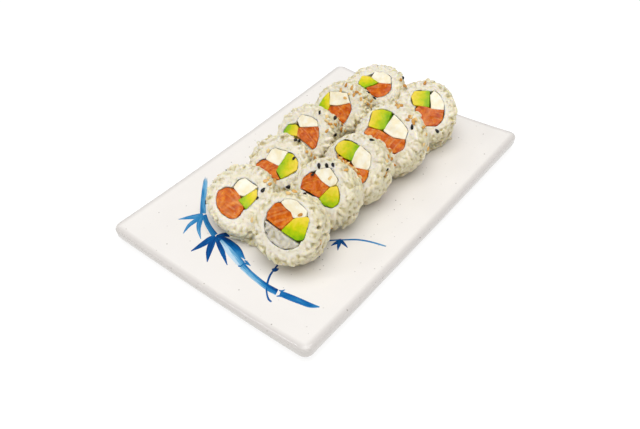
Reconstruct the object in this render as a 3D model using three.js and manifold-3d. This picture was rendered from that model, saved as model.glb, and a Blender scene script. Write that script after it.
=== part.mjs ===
import * as THREE from "three";
import { mergeVertices } from "three/addons/utils/BufferGeometryUtils.js";
import Module from "manifold-3d";

// Ten uramaki pieces lean back on one another in two rows on a white rectangular plate.
// Millimetres, +Z up. X runs along the plate's short side and Y along its long side.
// The origin is on the surface that the plate stands on, under the plate's middle.

const wasm = await Module();
wasm.setup();

// The plate: a warped slab with lifted corners, a soft rim and a low foot.
const plate = {
  width: 150,
  length: 222,
  cornerRadius: 5,
  topHeight: 7,
  cornerLift: 5.35,
  liftShareAcross: 0.67,
  rimRound: 2.5,
  underHeight: 2.6,
  underLift: 2.1,
  underRound: 1.2,
  sideBatter: 0.3,
  shoulderDrop: 0.15,
  topRings: [52, 26],
  footInset: 15,
  footWidth: 5,
  footSlope: 1,
  footRecess: 1.2,
};

// Every roll: rice outside, one turn of nori inside it, and the fillings in the nori.
const noriThickness = 0.5;
const gap = 0.35;
const riceEdgeRound = 4;
const longestRoundShare = 0.3;
const grainDepth = 1.0;
const riceSegments = 34;
const noriSegments = 26;
const rimStep = 8.6;
const fewestRimSteps = 3;
const bulgeNarrowing = 4;

// Sesame seeds lie on the side that faces up and right, over a span of angles in degrees and of
// depths as shares of the roll's length.
const seed = { length: 3.2, width: 1.9, thickness: 1.1, sunk: 0.6 };
const seeds = { perRoll: 5, fromAngle: 20, angles: 70, jitter: 0.6, fromDepth: 0.3, depths: 0.35 };

// Each roll leans back by lean and turns towards +X by twist, both in degrees. x and y place the
// middle of its front face. The nori's outline is a circle with two and three lobes, and its
// middle lies right and up of the roll's. The fillings meet at one point, and each starts at an
// angle counted from the right, against the clock. innerRice cuts a strip of rice off the
// fillings, below a line through a point of the face at a slope. bulge pushes the rice out at an
// angle, where the roll was pressed out of round.
const rolls = [
  {
    name: "left_1", x: -16.5, y: -59, lean: 61, twist: 22, radius: 21, length: 15,
    nori: { right: -1.9, up: -1.4, radius: 11.9, oval: 1.8, ovalAt: 48, lobes: 1.1, lobesAt: 47 },
    meet: { right: -0.5, up: 0.2 }, starts: { cheese: 37, salmon: 140, avocado: 297 },
    bulge: { by: 3, at: -61 },
  },
  {
    name: "left_2", x: -18, y: -24.5, lean: 55, twist: 16, radius: 19.5, length: 17,
    nori: { right: 0, up: -1.5, radius: 12.1, oval: 1.8, ovalAt: 36, lobes: 1, lobesAt: -12 },
    meet: { right: 1.6, up: -1.9 }, starts: { cheese: 72, salmon: 160, avocado: 296 },
  },
  {
    name: "left_3", x: -22, y: 6.5, lean: 49, twist: 7, radius: 20, length: 18.5,
    nori: { right: -1.3, up: -0.4, radius: 12.2, oval: 1.1, ovalAt: 17, lobes: 1.4, lobesAt: -32 },
    meet: { right: -5.7, up: 2.5 }, starts: { cheese: 20, avocado: 136, salmon: 291 },
  },
  {
    name: "left_4", x: -20.5, y: 39, lean: 48, twist: -5, radius: 19.5, length: 21,
    nori: { right: -1.7, up: -1.4, radius: 12.7, oval: 1.1, ovalAt: -26, lobes: 0.6, lobesAt: -49 },
    meet: { right: -6.6, up: -0.9 }, starts: { cheese: 29, avocado: 126, salmon: 276 },
  },
  {
    name: "left_5", x: -19, y: 77.5, lean: 70, twist: 8, radius: 20, length: 19.5,
    nori: { right: 0.2, up: 1.4, radius: 11.8, oval: 0.8, ovalAt: -10, lobes: 0.9, lobesAt: -42 },
    meet: { right: 1, up: 3.3 }, starts: { cheese: 14, avocado: 154, salmon: 221 },
  },
  {
    name: "right_1", x: 25.3, y: -67.5, lean: 44, twist: 10, radius: 20, length: 20.5,
    nori: { right: 0.5, up: 1.9, radius: 13.6, oval: 0, ovalAt: 0, lobes: 0.3, lobesAt: -50 },
    meet: { right: 2.3, up: 5.9 }, starts: { cheese: 23, salmon: 146, avocado: 249 },
    innerRice: { right: -1.4, up: -2.5, slope: -14 },
  },
  {
    name: "right_2", x: 21, y: -32.3, lean: 47, twist: -2, radius: 20.5, length: 19.3,
    nori: { right: 0.7, up: 2.6, radius: 11.9, oval: 2.1, ovalAt: -7, lobes: 1.7, lobesAt: -31 },
    meet: { right: 5, up: 3.5 }, starts: { cheese: 40, salmon: 160, avocado: 255 },
  },
  {
    name: "right_3", x: 22, y: -4, lean: 45, twist: -1, radius: 21, length: 18.5,
    nori: { right: 0.4, up: 2.9, radius: 12.5, oval: 2.4, ovalAt: -37, lobes: 1.5, lobesAt: 46 },
    meet: { right: -0.5, up: 2.2 }, starts: { cheese: 6, avocado: 96, salmon: 195 },
  },
  {
    name: "right_4", x: 24, y: 31, lean: 52, twist: 9, radius: 22.5, length: 21,
    nori: { right: -2.2, up: 0.5, radius: 14.5, oval: 1.4, ovalAt: -41, lobes: 0.9, lobesAt: 8 },
    meet: { right: -3.5, up: 1.5 }, starts: { cheese: -3, avocado: 85, salmon: 182 },
  },
  {
    name: "right_5", x: 26, y: 68, lean: 53, twist: 24, radius: 21, length: 20,
    nori: { right: 3, up: 3.1, radius: 11.8, oval: 2.2, ovalAt: -57, lobes: 1.1, lobesAt: 41 },
    meet: { right: 4.1, up: 2.5 }, starts: { cheese: 1, avocado: 99, salmon: 175 },
  },
];

const colours = {
  plate: new THREE.MeshStandardMaterial({ color: 0xf3efeb, roughness: 0.15, metalness: 0 }),
  rice: new THREE.MeshStandardMaterial({ color: 0xe6e0cd, roughness: 0.5, metalness: 0 }),
  nori: new THREE.MeshStandardMaterial({ color: 0x1c2214, roughness: 0.5, metalness: 0 }),
  salmon: new THREE.MeshStandardMaterial({ color: 0xdd6a1c, roughness: 0.35, metalness: 0 }),
  cheese: new THREE.MeshStandardMaterial({ color: 0xfdf8ea, roughness: 0.45, metalness: 0 }),
  avocado: new THREE.MeshStandardMaterial({ color: 0xc4cf2e, roughness: 0.4, metalness: 0 }),
};

const radians = THREE.MathUtils.degToRad;

// A seeded source of numbers from 0 to 1, the same on every run: a linear congruence.
function seededRandom(start) {
  const [multiplier, increment, modulus] = [1664525, 1013904223, 2 ** 32];
  let state = start;
  return () => {
    state = (state * multiplier + increment) % modulus;
    return state / modulus;
  };
}

// A manifold solid from a closed three.js geometry.
function solidOf(geometry) {
  const bare = geometry.clone();
  bare.deleteAttribute("normal");
  bare.deleteAttribute("uv");
  const merged = mergeVertices(bare, 1e-4);
  const vertProperties = new Float32Array(merged.attributes.position.array);
  const triVerts = new Uint32Array(merged.index.array);
  return new wasm.Manifold(new wasm.Mesh({ numProp: 3, vertProperties, triVerts }));
}

// A three.js geometry from a manifold solid.
function geometryOf(solid) {
  const mesh = solid.getMesh();
  const positions = new Float32Array(mesh.vertProperties);
  const geometry = new THREE.BufferGeometry();
  geometry.setAttribute("position", new THREE.BufferAttribute(positions, 3));
  geometry.setIndex(Array.from(mesh.triVerts));
  geometry.computeVertexNormals();
  return geometry;
}

// Joins rings of equally many points into one skin. Without centres the last ring joins the first.
// With half steps, every other ring starts half a step on, so its triangles are even.
function skinGeometry(rings, { centres = null, halfSteps = false } = {}) {
  const count = rings[0].length;
  const positions = rings.flat().flatMap((point) => [point.x, point.y, point.z]);
  const index = [];
  const at = (ring, step) => (ring % rings.length) * count + (step % count);
  const spans = centres ? rings.length - 1 : rings.length;
  for (let ring = 0; ring < spans; ring++) {
    for (let step = 0; step < count; step++) {
      const [near, nearNext] = [at(ring, step), at(ring, step + 1)];
      const [far, farNext] = [at(ring + 1, step), at(ring + 1, step + 1)];
      if (halfSteps && ring % 2 === 1) index.push(near, far, farNext, near, farNext, nearNext);
      else index.push(near, far, nearNext, nearNext, far, farNext);
    }
  }
  if (centres) {
    const first = rings.length * count;
    centres.forEach((point) => positions.push(point.x, point.y, point.z));
    for (let step = 0; step < count; step++) {
      index.push(first, at(0, step), at(0, step + 1));
      index.push(first + 1, at(rings.length - 1, step + 1), at(rings.length - 1, step));
    }
  }
  const geometry = new THREE.BufferGeometry();
  geometry.setAttribute("position", new THREE.Float32BufferAttribute(positions, 3));
  geometry.setIndex(index);
  geometry.computeVertexNormals();
  return geometry;
}

// How far the corners' lift raises the plate at x, y: 0 in the middle and 1 at a corner.
function liftAt(x, y) {
  const across = (x / (plate.width / 2)) ** 2;
  const along = (y / (plate.length / 2)) ** 2;
  return across * plate.liftShareAcross + along * (1 - plate.liftShareAcross);
}

// The plate's top surface.
function plateTop(x, y) {
  return plate.topHeight + plate.cornerLift * liftAt(x, y);
}

// The plate's underside, outside its foot.
function plateUnder(x, y) {
  return plate.underHeight + plate.underLift * liftAt(x, y);
}

// A rectangle with round corners, as points at a height that depends on x and y.
function plateRing(inset, cornerRadius, height) {
  const [arcSteps, shortSteps, longSteps] = [4, 3, 5];
  const halfWidth = plate.width / 2 - inset;
  const halfLength = plate.length / 2 - inset;
  const points = [];
  for (let corner = 0; corner < 4; corner++) {
    const [signX, signY] = [[1, 1], [-1, 1], [-1, -1], [1, -1]][corner];
    const middleX = signX * (halfWidth - cornerRadius);
    const middleY = signY * (halfLength - cornerRadius);
    for (let step = 0; step <= arcSteps; step++) {
      const angle = radians(90 * (corner + step / arcSteps));
      const [x, y] = [cornerRadius * Math.cos(angle), cornerRadius * Math.sin(angle)];
      points.push(new THREE.Vector3(middleX + x, middleY + y, 0));
    }
    const start = points[points.length - 1];
    const alongX = corner % 2 === 0;
    const sideSteps = alongX ? shortSteps : longSteps;
    const end = alongX ? new THREE.Vector3(-start.x, start.y, 0) : new THREE.Vector3(start.x, -start.y, 0);
    for (let step = 1; step <= sideSteps; step++) {
      points.push(start.clone().lerp(end, step / (sideSteps + 1)));
    }
  }
  points.forEach((point) => point.setZ(height(point.x, point.y)));
  return points;
}

// The plate, ringed from the middle of its top over the rim to the middle of its underside.
function plateGeometry() {
  const round = plate.rimRound;
  const under = plate.underRound;
  const corner = plate.cornerRadius;
  const bend = round * (1 - Math.SQRT1_2);
  const drop = plate.shoulderDrop;
  const footOuter = plate.footInset;
  const footInner = plate.footInset + plate.footWidth;
  const rings = [
    ...plate.topRings.map((inset) => plateRing(inset, corner, plateTop)),
    plateRing(round * 2, corner, plateTop),
    plateRing(round, corner, (x, y) => plateTop(x, y) - drop),
    plateRing(bend, corner, (x, y) => plateTop(x, y) - bend - drop),
    plateRing(0, corner, (x, y) => plateTop(x, y) - round),
    plateRing(plate.sideBatter, corner, (x, y) => plateUnder(x, y) + under),
    plateRing(under, corner, plateUnder),
    plateRing(footOuter - plate.footSlope, corner, plateUnder),
    plateRing(footOuter, corner, () => 0),
    plateRing(footInner, corner, () => 0),
    plateRing(footInner + plate.footSlope, corner, () => plate.footRecess),
  ];
  const top = new THREE.Vector3(0, 0, plateTop(0, 0));
  const bottom = new THREE.Vector3(0, 0, plate.footRecess);
  return skinGeometry(rings, { centres: [top, bottom] });
}

// The nori's outer radius at an angle in radians, before any inset.
function noriRadius(nori, angle) {
  const oval = nori.oval * Math.cos(2 * (angle - radians(nori.ovalAt)));
  const lobes = nori.lobes * Math.cos(3 * (angle - radians(nori.lobesAt)));
  return nori.radius + oval + lobes;
}

// A point of the nori's outline, moved inwards by an inset, on the roll's face.
function noriPoint(nori, angle, inset) {
  const radius = noriRadius(nori, angle) - inset;
  return new THREE.Vector2(nori.right + radius * Math.cos(angle), nori.up + radius * Math.sin(angle));
}

// The nori's outline as a closed row of points.
function noriOutline(nori, inset) {
  const steps = Array.from({ length: noriSegments }, (_, step) => step / noriSegments);
  return steps.map((share) => noriPoint(nori, 2 * Math.PI * share, inset));
}

// A straight prism from the roll's front face back to its length.
function prismGeometry(outline, hole, length) {
  const shape = new THREE.Shape(outline);
  if (hole) shape.holes.push(new THREE.Path(hole));
  const settings = { depth: length, bevelEnabled: false, steps: 1 };
  const geometry = new THREE.ExtrudeGeometry(shape, settings);
  geometry.translate(0, 0, -length);
  return geometry;
}

// Where a ray from a point of the face meets the edge of the space inside the nori, found by
// halving the stretch between a point inside and a point outside.
function rimPoint(nori, from, angle) {
  const halvings = 30;
  const inset = noriThickness + gap;
  const centre = new THREE.Vector2(nori.right, nori.up);
  const ray = new THREE.Vector2(Math.cos(angle), Math.sin(angle));
  let near = 0;
  let far = 2 * (nori.radius + nori.oval + nori.lobes);
  for (let halving = 0; halving < halvings; halving++) {
    const middle = (near + far) / 2;
    const offset = from.clone().addScaledVector(ray, middle).sub(centre);
    if (offset.length() < noriRadius(nori, offset.angle()) - inset) near = middle;
    else far = middle;
  }
  return from.clone().addScaledVector(ray, near);
}

// Cuts an outline along the inner rice's line and keeps the side above it or below it.
function cutOutline(outline, line, above) {
  const slope = radians(line.slope);
  const side = ([x, y]) => {
    const height = (y - line.up) * Math.cos(slope) - (x - line.right) * Math.sin(slope);
    return (above ? height : -height) - gap / 2;
  };
  const kept = [];
  outline.forEach((point, step) => {
    const next = outline[(step + 1) % outline.length];
    const [here, there] = [side(point.toArray()), side(next.toArray())];
    if (here >= 0) kept.push(point);
    if (here >= 0 !== there >= 0) kept.push(point.clone().lerp(next, here / (here - there)));
  });
  return kept;
}

// One filling: the wedge between two rays from the meeting point out to the nori.
function fillingOutline(roll, from, to) {
  const half = radians(to - from) / 2;
  const middle = radians(from) + half;
  const shift = gap / 2 / Math.sin(half);
  const tip = new THREE.Vector2(roll.meet.right, roll.meet.up);
  tip.add(new THREE.Vector2(Math.cos(middle), Math.sin(middle)).multiplyScalar(shift));
  const steps = Math.max(fewestRimSteps, Math.round(half / radians(rimStep)));
  const outline = [tip];
  for (let step = 0; step <= steps; step++) {
    outline.push(rimPoint(roll.nori, tip, radians(from) + (2 * half * step) / steps));
  }
  return roll.innerRice ? cutOutline(outline, roll.innerRice, true) : outline;
}

// How far the edges of a roll's rice are rounded off.
function edgeRound(roll) {
  return Math.min(riceEdgeRound, roll.length * longestRoundShare);
}

// The rice's outer radius at an angle in radians.
function riceRadius(roll, angle) {
  if (!roll.bulge) return roll.radius;
  const towards = Math.max(0, Math.cos(angle - radians(roll.bulge.at)));
  return roll.radius + roll.bulge.by * towards ** bulgeNarrowing;
}

// The ring of rice, with a bump or a dip of a grain's size at each point of its skin. Each of its
// sections is either the hole, a ring at so much less than the outer radius, or a ring half-way
// between them. side and face say how much of the dip goes inwards and how much along the axis.
function riceGeometry(roll, random) {
  const round = edgeRound(roll);
  const bend = round * (1 - Math.SQRT1_2);
  const slant = Math.SQRT1_2;
  const { length } = roll;
  const sideDepth = (share) => round + (length - 2 * round) * share;
  const sections = [
    { hole: true, depth: 0 },
    { less: round, depth: 0, face: 1, halfWay: true },
    { less: round, depth: 0, face: 1 },
    { less: bend, depth: bend, face: slant, side: slant },
    ...[0, 1 / 3, 2 / 3, 1].map((share) => ({ less: 0, depth: sideDepth(share), side: 1 })),
    { less: bend, depth: length - bend, face: -slant, side: slant },
    { less: round, depth: length, face: -1 },
    { less: round, depth: length, face: -1, halfWay: true },
    { hole: true, depth: length },
  ];
  const rings = sections.map((section, ringNumber) =>
    Array.from({ length: riceSegments }, (_, step) => {
      const angle = (2 * Math.PI * (step + (ringNumber % 2) / 2)) / riceSegments;
      const hole = noriPoint(roll.nori, angle, -gap);
      if (section.hole) return new THREE.Vector3(hole.x, hole.y, -section.depth);
      const dip = grainDepth * random();
      const radius = riceRadius(roll, angle);
      const edge = Math.max(radius - round, (hole.length() + radius) / 2);
      const out = Math.max(radius - section.less, edge) - dip * (section.side ?? 0);
      const point = new THREE.Vector2(out * Math.cos(angle), out * Math.sin(angle));
      if (section.halfWay) point.lerp(hole, 1 / 2);
      return new THREE.Vector3(point.x, point.y, -section.depth - dip * (section.face ?? 0));
    }),
  );
  return skinGeometry(rings, { halfSteps: true });
}

// A sesame seed: a flat six-sided drop, lying on the roll's side at an angle and a depth.
function seedGeometry(roll, angle, depth, turn) {
  const [around, fromTipToTip] = [6, 2];
  const geometry = new THREE.SphereGeometry(1 / 2, around, fromTipToTip);
  geometry.scale(seed.width, seed.thickness, seed.length);
  geometry.rotateY(turn);
  geometry.rotateZ(angle - Math.PI / 2);
  const reach = roll.radius - grainDepth * seed.sunk;
  geometry.translate(reach * Math.cos(angle), reach * Math.sin(angle), -depth);
  return geometry;
}

// The rice with its seeds fused on.
function seededRice(roll, random) {
  let rice = solidOf(riceGeometry(roll, random));
  for (let number = 0; number < seeds.perRoll; number++) {
    const share = (number + random() * seeds.jitter) / seeds.perRoll;
    const angle = radians(seeds.fromAngle + seeds.angles * share);
    const depth = roll.length * (seeds.fromDepth + seeds.depths * random());
    rice = rice.add(solidOf(seedGeometry(roll, angle, depth, random() * Math.PI)));
  }
  return geometryOf(rice);
}

// Adds a named piece to a group.
function addMesh(parent, name, geometry, material) {
  const mesh = new THREE.Mesh(geometry, material);
  mesh.name = name;
  parent.add(mesh);
}

// One roll, in a group whose X is right, Y is up and Z is out of its front face.
function makeRoll(roll, number) {
  const [firstStart, startStep] = [1000, 77];
  const group = new THREE.Group();
  const random = seededRandom(firstStart + startStep * number);
  addMesh(group, `${roll.name}_rice`, seededRice(roll, random), colours.rice);
  const outer = noriOutline(roll.nori, 0);
  const inner = noriOutline(roll.nori, noriThickness);
  addMesh(group, `${roll.name}_nori`, prismGeometry(outer, inner, roll.length), colours.nori);
  const starts = Object.entries(roll.starts);
  starts.forEach(([filling, from], order) => {
    const next = starts[(order + 1) % starts.length][1];
    const to = next > from ? next : next + 360;
    const prism = prismGeometry(fillingOutline(roll, from, to), null, roll.length);
    addMesh(group, `${roll.name}_${filling}`, prism, colours[filling]);
  });
  if (roll.innerRice) {
    const inside = noriOutline(roll.nori, noriThickness + gap);
    const prism = prismGeometry(cutOutline(inside, roll.innerRice, false), null, roll.length);
    addMesh(group, `${roll.name}_inner_rice`, prism, colours.rice);
  }
  placeRoll(group, roll);
  return group;
}

// Leans and turns a roll, and sets it down with its rounded back edge on the plate.
function placeRoll(group, roll) {
  group.rotation.set(radians(90 - roll.lean), 0, radians(roll.twist), "ZXY");
  const round = edgeRound(roll);
  const foot = new THREE.Vector3(0, round - roll.radius, round - roll.length).applyEuler(group.rotation);
  const height = plateTop(roll.x + foot.x, roll.y + foot.y) + gap + round - foot.z;
  group.position.set(roll.x, roll.y, height);
}

const part = new THREE.Group();
addMesh(part, "plate", plateGeometry(), colours.plate);
rolls.forEach((roll, number) => part.add(makeRoll(roll, number)));

export default part;
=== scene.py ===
# %% [markdown]
# Ten uramaki pieces lean back on one another in two rows on a white glazed plate, which carries a
# bamboo branch brushed in blue. This script dresses the solid model of that plate with its real
# surfaces: grains of rice, sheets of nori, cut fish, cream cheese and avocado, sesame seeds, glaze
# and brush strokes. Each step first says what the piece is, how it could be made, and why it is
# made as it is here.

# %% The model and the tools
import math

import bpy
import numpy as np
from mathutils import Matrix, Vector
from mathutils.bvhtree import BVHTree


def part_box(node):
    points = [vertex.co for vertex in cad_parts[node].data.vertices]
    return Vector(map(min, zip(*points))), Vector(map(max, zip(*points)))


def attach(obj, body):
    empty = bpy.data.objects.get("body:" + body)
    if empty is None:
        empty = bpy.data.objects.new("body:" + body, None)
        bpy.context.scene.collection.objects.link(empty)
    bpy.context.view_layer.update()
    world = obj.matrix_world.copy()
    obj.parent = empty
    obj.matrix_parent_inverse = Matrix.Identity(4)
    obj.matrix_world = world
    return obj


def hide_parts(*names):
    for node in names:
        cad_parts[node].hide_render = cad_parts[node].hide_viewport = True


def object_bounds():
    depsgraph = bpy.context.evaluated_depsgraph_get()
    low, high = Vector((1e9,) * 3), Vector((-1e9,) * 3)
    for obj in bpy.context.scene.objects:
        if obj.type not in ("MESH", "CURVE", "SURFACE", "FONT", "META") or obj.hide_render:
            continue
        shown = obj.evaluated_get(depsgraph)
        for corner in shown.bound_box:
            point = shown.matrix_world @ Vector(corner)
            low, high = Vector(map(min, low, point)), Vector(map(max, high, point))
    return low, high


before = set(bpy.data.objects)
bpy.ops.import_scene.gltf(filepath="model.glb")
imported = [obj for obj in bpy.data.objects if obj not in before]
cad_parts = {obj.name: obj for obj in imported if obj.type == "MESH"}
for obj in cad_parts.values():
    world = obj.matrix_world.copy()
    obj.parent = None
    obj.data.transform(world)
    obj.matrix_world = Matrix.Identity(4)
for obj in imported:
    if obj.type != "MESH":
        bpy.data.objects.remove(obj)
cad_box = [list(corner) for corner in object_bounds()]
MILLIMETRE = 0.001
box_in_mm = [round(value / MILLIMETRE) for corner in cad_box for value in corner]
print("nodes:", len(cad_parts), "box in mm:", box_in_mm)

# %% [markdown]
# The camera stands where the photographer's did. Its place and angles were solved from the four
# corners of the plate, so a pixel of the photograph is also a ray in the scene. That is handy
# later: a seed or a brush stroke that shows at a pixel is put where its ray meets the food or the
# plate, and so it sits on them, seen from any side.

# %% The camera
PHOTO_WIDTH = 640
PHOTO_HEIGHT = 429
FOCAL_PIXELS = 707.1
SENSOR_WIDTH = 36.0
camera_place = np.array([217.1, -260.9, 300.0])
camera_azimuth = math.radians(-40.67)
camera_down = math.radians(43.32)
camera_roll = math.radians(2.88)

ahead = np.array([
    math.sin(camera_azimuth) * math.cos(camera_down),
    math.cos(camera_azimuth) * math.cos(camera_down),
    -math.sin(camera_down),
])
level_right = np.array([math.cos(camera_azimuth), -math.sin(camera_azimuth), 0.0])
level_down = np.cross(ahead, level_right)
image_right = math.cos(camera_roll) * level_right + math.sin(camera_roll) * level_down
image_down = math.cos(camera_roll) * level_down - math.sin(camera_roll) * level_right

camera_data = bpy.data.cameras.new("camera")
camera_data.sensor_width = SENSOR_WIDTH
camera_data.sensor_fit = "HORIZONTAL"
camera_data.lens = FOCAL_PIXELS * SENSOR_WIDTH / PHOTO_WIDTH
camera_data.clip_start = 0.01
camera_data.clip_end = 20
camera = bpy.data.objects.new("camera", camera_data)
turn = Matrix([image_right, -image_down, -ahead]).transposed()
camera.matrix_world = Matrix.Translation(Vector(camera_place) * MILLIMETRE) @ turn.to_4x4()
bpy.context.scene.collection.objects.link(camera)
bpy.context.scene.camera = camera
print("lens:", round(camera_data.lens, 2), "mm")


def ray_through(pixel):
    """The direction in which the camera sees a pixel of the photograph."""
    right = (pixel[0] - PHOTO_WIDTH / 2) / FOCAL_PIXELS
    down = (pixel[1] - PHOTO_HEIGHT / 2) / FOCAL_PIXELS
    direction = ahead + right * image_right + down * image_down
    return direction / np.linalg.norm(direction)


# %% [markdown]
# The dish was photographed on bright white with very soft light. A white world gives that light
# from all sides. One large lamp high above evens out the plate, so that only soft shadows are left
# where the rolls meet it. A small one on the left is mirrored as glints by the moist cut faces.

# %% Light
WORLD_STRENGTH = 0.37
KEY_POWER = 22.0
KEY_SIZE = 1.8
key_place = Vector((0.2, -0.16, 1.6))
GLINT_POWER = 0.9
GLINT_SIZE = 0.12
glint_place = Vector((-0.55, -0.65, 0.85))

world = bpy.data.worlds.new("white")
bpy.context.scene.world = world
world.use_nodes = True
world.node_tree.nodes["Background"].inputs["Color"].default_value = (1, 1, 1, 1)
world.node_tree.nodes["Background"].inputs["Strength"].default_value = WORLD_STRENGTH


def add_lamp(name, place, power, size):
    """A round lamp that looks at the plate."""
    data = bpy.data.lights.new(name, "AREA")
    data.shape = "DISK"
    data.size = size
    data.energy = power
    lamp = bpy.data.objects.new(name, data)
    lamp.location = place
    lamp.rotation_mode = "QUATERNION"
    lamp.rotation_quaternion = place.to_track_quat("Z", "Y")
    bpy.context.scene.collection.objects.link(lamp)


add_lamp("key", key_place, KEY_POWER, KEY_SIZE)
add_lamp("glint", glint_place, GLINT_POWER, GLINT_SIZE)
bpy.context.scene.view_settings.view_transform = "Standard"
bpy.context.scene.view_settings.look = "None"
print("key lamp", round(key_place.length, 2), "m away")
print("glint lamp", round(glint_place.length, 2), "m away")

# %% [markdown]
# A material is a small network of nodes. Written out node by node it is long and hard to read, so
# a class wraps one socket and takes Python's operators: `1 - mask * 0.5` adds the two Math nodes
# itself. Colours go through Mix nodes, because a Math node would turn them grey. Every other node
# comes from the one method `node`.

# %% Shader expressions
class Value:
    """One socket of a shader, with operators that add Math nodes."""

    def __init__(self, shader, socket):
        self.shader = shader
        self.socket = socket

    def math(self, operation, *values):
        return self.shader.node("ShaderNodeMath", {"operation": operation}, dict(enumerate(values)))

    def __add__(self, other):
        return self.math("ADD", self, other)

    def __radd__(self, other):
        return self.math("ADD", other, self)

    def __sub__(self, other):
        return self.math("SUBTRACT", self, other)

    def __rsub__(self, other):
        return self.math("SUBTRACT", other, self)

    def __mul__(self, other):
        return self.math("MULTIPLY", self, other)

    def __rmul__(self, other):
        return self.math("MULTIPLY", other, self)

    def __abs__(self):
        return self.math("ABSOLUTE", self)

    def between(self, low, high):
        """Rises smoothly from 0 at low to 1 at high."""
        settings = {"interpolation_type": "SMOOTHSTEP"}
        return self.shader.node("ShaderNodeMapRange", settings, {"Value": self, 1: low, 2: high})

    def ramp(self, *stops):
        """A colour for each value: pairs of a position and a colour."""
        return self.shader.node("ShaderNodeValToRGB", {"stops": stops}, {"Fac": self})


class Shader:
    """A material, made of nodes that one method adds."""

    def __init__(self, name):
        self.material = bpy.data.materials.new(name)
        self.material.use_nodes = True
        self.tree = self.material.node_tree
        self.tree.nodes.clear()

    def node(self, kind, settings, inputs, output=0):
        made = self.tree.nodes.new(kind)
        for setting, value in settings.items():
            if setting == "stops":
                self.set_stops(made.color_ramp, value)
            else:
                setattr(made, setting, value)
        for name, value in inputs.items():
            if isinstance(value, Value):
                self.tree.links.new(value.socket, made.inputs[name])
            else:
                made.inputs[name].default_value = value
        return None if output is None else Value(self, made.outputs[output])

    def set_stops(self, ramp, stops):
        while len(ramp.elements) < len(stops):
            ramp.elements.new(1)
        for element, (position, colour) in zip(ramp.elements, stops):
            element.position = position
            element.color = colour

    def place(self):
        """The place on the piece in its own millimetres, kept on the mesh."""
        return self.node("ShaderNodeAttribute", {"attribute_name": "place"}, {}, "Vector")

    def stored(self, name):
        """A number that was stored at each point of the mesh."""
        return self.node("ShaderNodeAttribute", {"attribute_name": name}, {}, "Fac")

    def stretched(self, vector, *scale):
        settings = {"operation": "MULTIPLY"}
        return self.node("ShaderNodeVectorMath", settings, {0: vector, 1: scale})

    def noise(self, vector, size, detail=2.0):
        """Smooth noise from 0 to 1, with patches of about a size."""
        inputs = {"Vector": vector, "Scale": 1 / size, "Detail": detail}
        return self.node("ShaderNodeTexNoise", {}, inputs)

    def mix(self, share, first, second):
        inputs = {0: share, 6: first, 7: second}
        return self.node("ShaderNodeMix", {"data_type": "RGBA"}, inputs, 2)

    def multiplied(self, share, first, second):
        settings = {"data_type": "RGBA", "blend_type": "MULTIPLY"}
        return self.node("ShaderNodeMix", settings, {0: share, 6: first, 7: second}, 2)

    def bump(self, height, distance):
        """A surface normal for relief of so many millimetres."""
        inputs = {"Height": height, "Distance": distance * MILLIMETRE, "Strength": 1.0}
        return self.node("ShaderNodeBump", {}, inputs)

    def surface(self, **inputs):
        """Ends the material with its surface. Inputs are named as the sockets, with _ for spaces."""
        named = {name.replace("_", " "): value for name, value in inputs.items()}
        principled = self.node("ShaderNodeBsdfPrincipled", {}, named)
        self.node("ShaderNodeOutputMaterial", {}, {"Surface": principled}, output=None)
        return self.material


def colour(red, green, blue):
    """A colour as a screen shows it, from 0 to 255, in the linear values that a shader takes."""
    def linear(level):
        share = level / 255
        return share / 12.92 if share <= 0.04045 else ((share + 0.055) / 1.055) ** 2.4
    return (linear(red), linear(green), linear(blue), 1.0)


print("black to white:", [round(level, 3) for level in colour(0, 128, 255)])

# %% [markdown]
# Every shape below is worked out as an array of points in millimetres. A few small helpers turn
# such arrays into Blender objects and read them back, and one gives smooth unevenness: a sum of
# waves in seeded directions, which is the same on every run.

# %% Mesh helpers
WAVES = 14
WAVE_SPREAD = (0.5, 1.2)


def make_piece(name, points, faces):
    """A smooth mesh object from points in millimetres."""
    mesh = bpy.data.meshes.new(name)
    mesh.from_pydata((np.asarray(points) * MILLIMETRE).tolist(), [], faces)
    mesh.shade_smooth()
    piece = bpy.data.objects.new(name, mesh)
    bpy.context.scene.collection.objects.link(piece)
    return piece


def store(piece, name, values):
    """Keeps a number or a vector at each point of a mesh, for its material."""
    values = np.asarray(values, np.float32)
    is_vector = values.ndim == 2
    attribute = piece.data.attributes.new(name, "FLOAT_VECTOR" if is_vector else "FLOAT", "POINT")
    attribute.data.foreach_set("vector" if is_vector else "value", values.ravel())


def points_of(piece):
    """The points of a mesh, in millimetres."""
    flat = np.zeros(len(piece.data.vertices) * 3, np.float32)
    piece.data.vertices.foreach_get("co", flat)
    return flat.reshape(-1, 3).astype(float) / MILLIMETRE


def skin(rings, ends=None):
    """Joins rings of equally many points. Two end points close the skin, or else the last ring
    joins the first."""
    rings = np.asarray(rings, float)
    ring_count, count = rings.shape[:2]
    points = rings.reshape(-1, 3)
    steps = np.arange(count)
    nexts = (steps + 1) % count
    faces = []
    for ring in range(ring_count - 1 if ends is not None else ring_count):
        near, far = ring * count, ((ring + 1) % ring_count) * count
        faces += np.column_stack([near + steps, far + steps, far + nexts, near + nexts]).tolist()
    if ends is not None:
        first, last = len(points), (ring_count - 1) * count
        points = np.vstack([points, ends])
        faces += [[first, step, following] for step, following in zip(steps.tolist(), nexts.tolist())]
        faces += [[first + 1, last + b, last + a] for a, b in zip(steps.tolist(), nexts.tolist())]
    return points, faces


def turns_in(steps):
    """The angles of so many even steps round a full turn."""
    return np.arange(steps) * 2 * math.pi / steps


def circle(angles):
    """Points on a circle of radius 1."""
    return np.column_stack([np.cos(angles), np.sin(angles)])


def at_depth(outline, depth):
    """The points of a flat outline, all at one depth."""
    return np.column_stack([outline, np.full(len(outline), depth)])


def unit(vectors):
    """Vectors in the same directions, each of length 1."""
    return vectors / np.linalg.norm(vectors, axis=1, keepdims=True)


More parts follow.
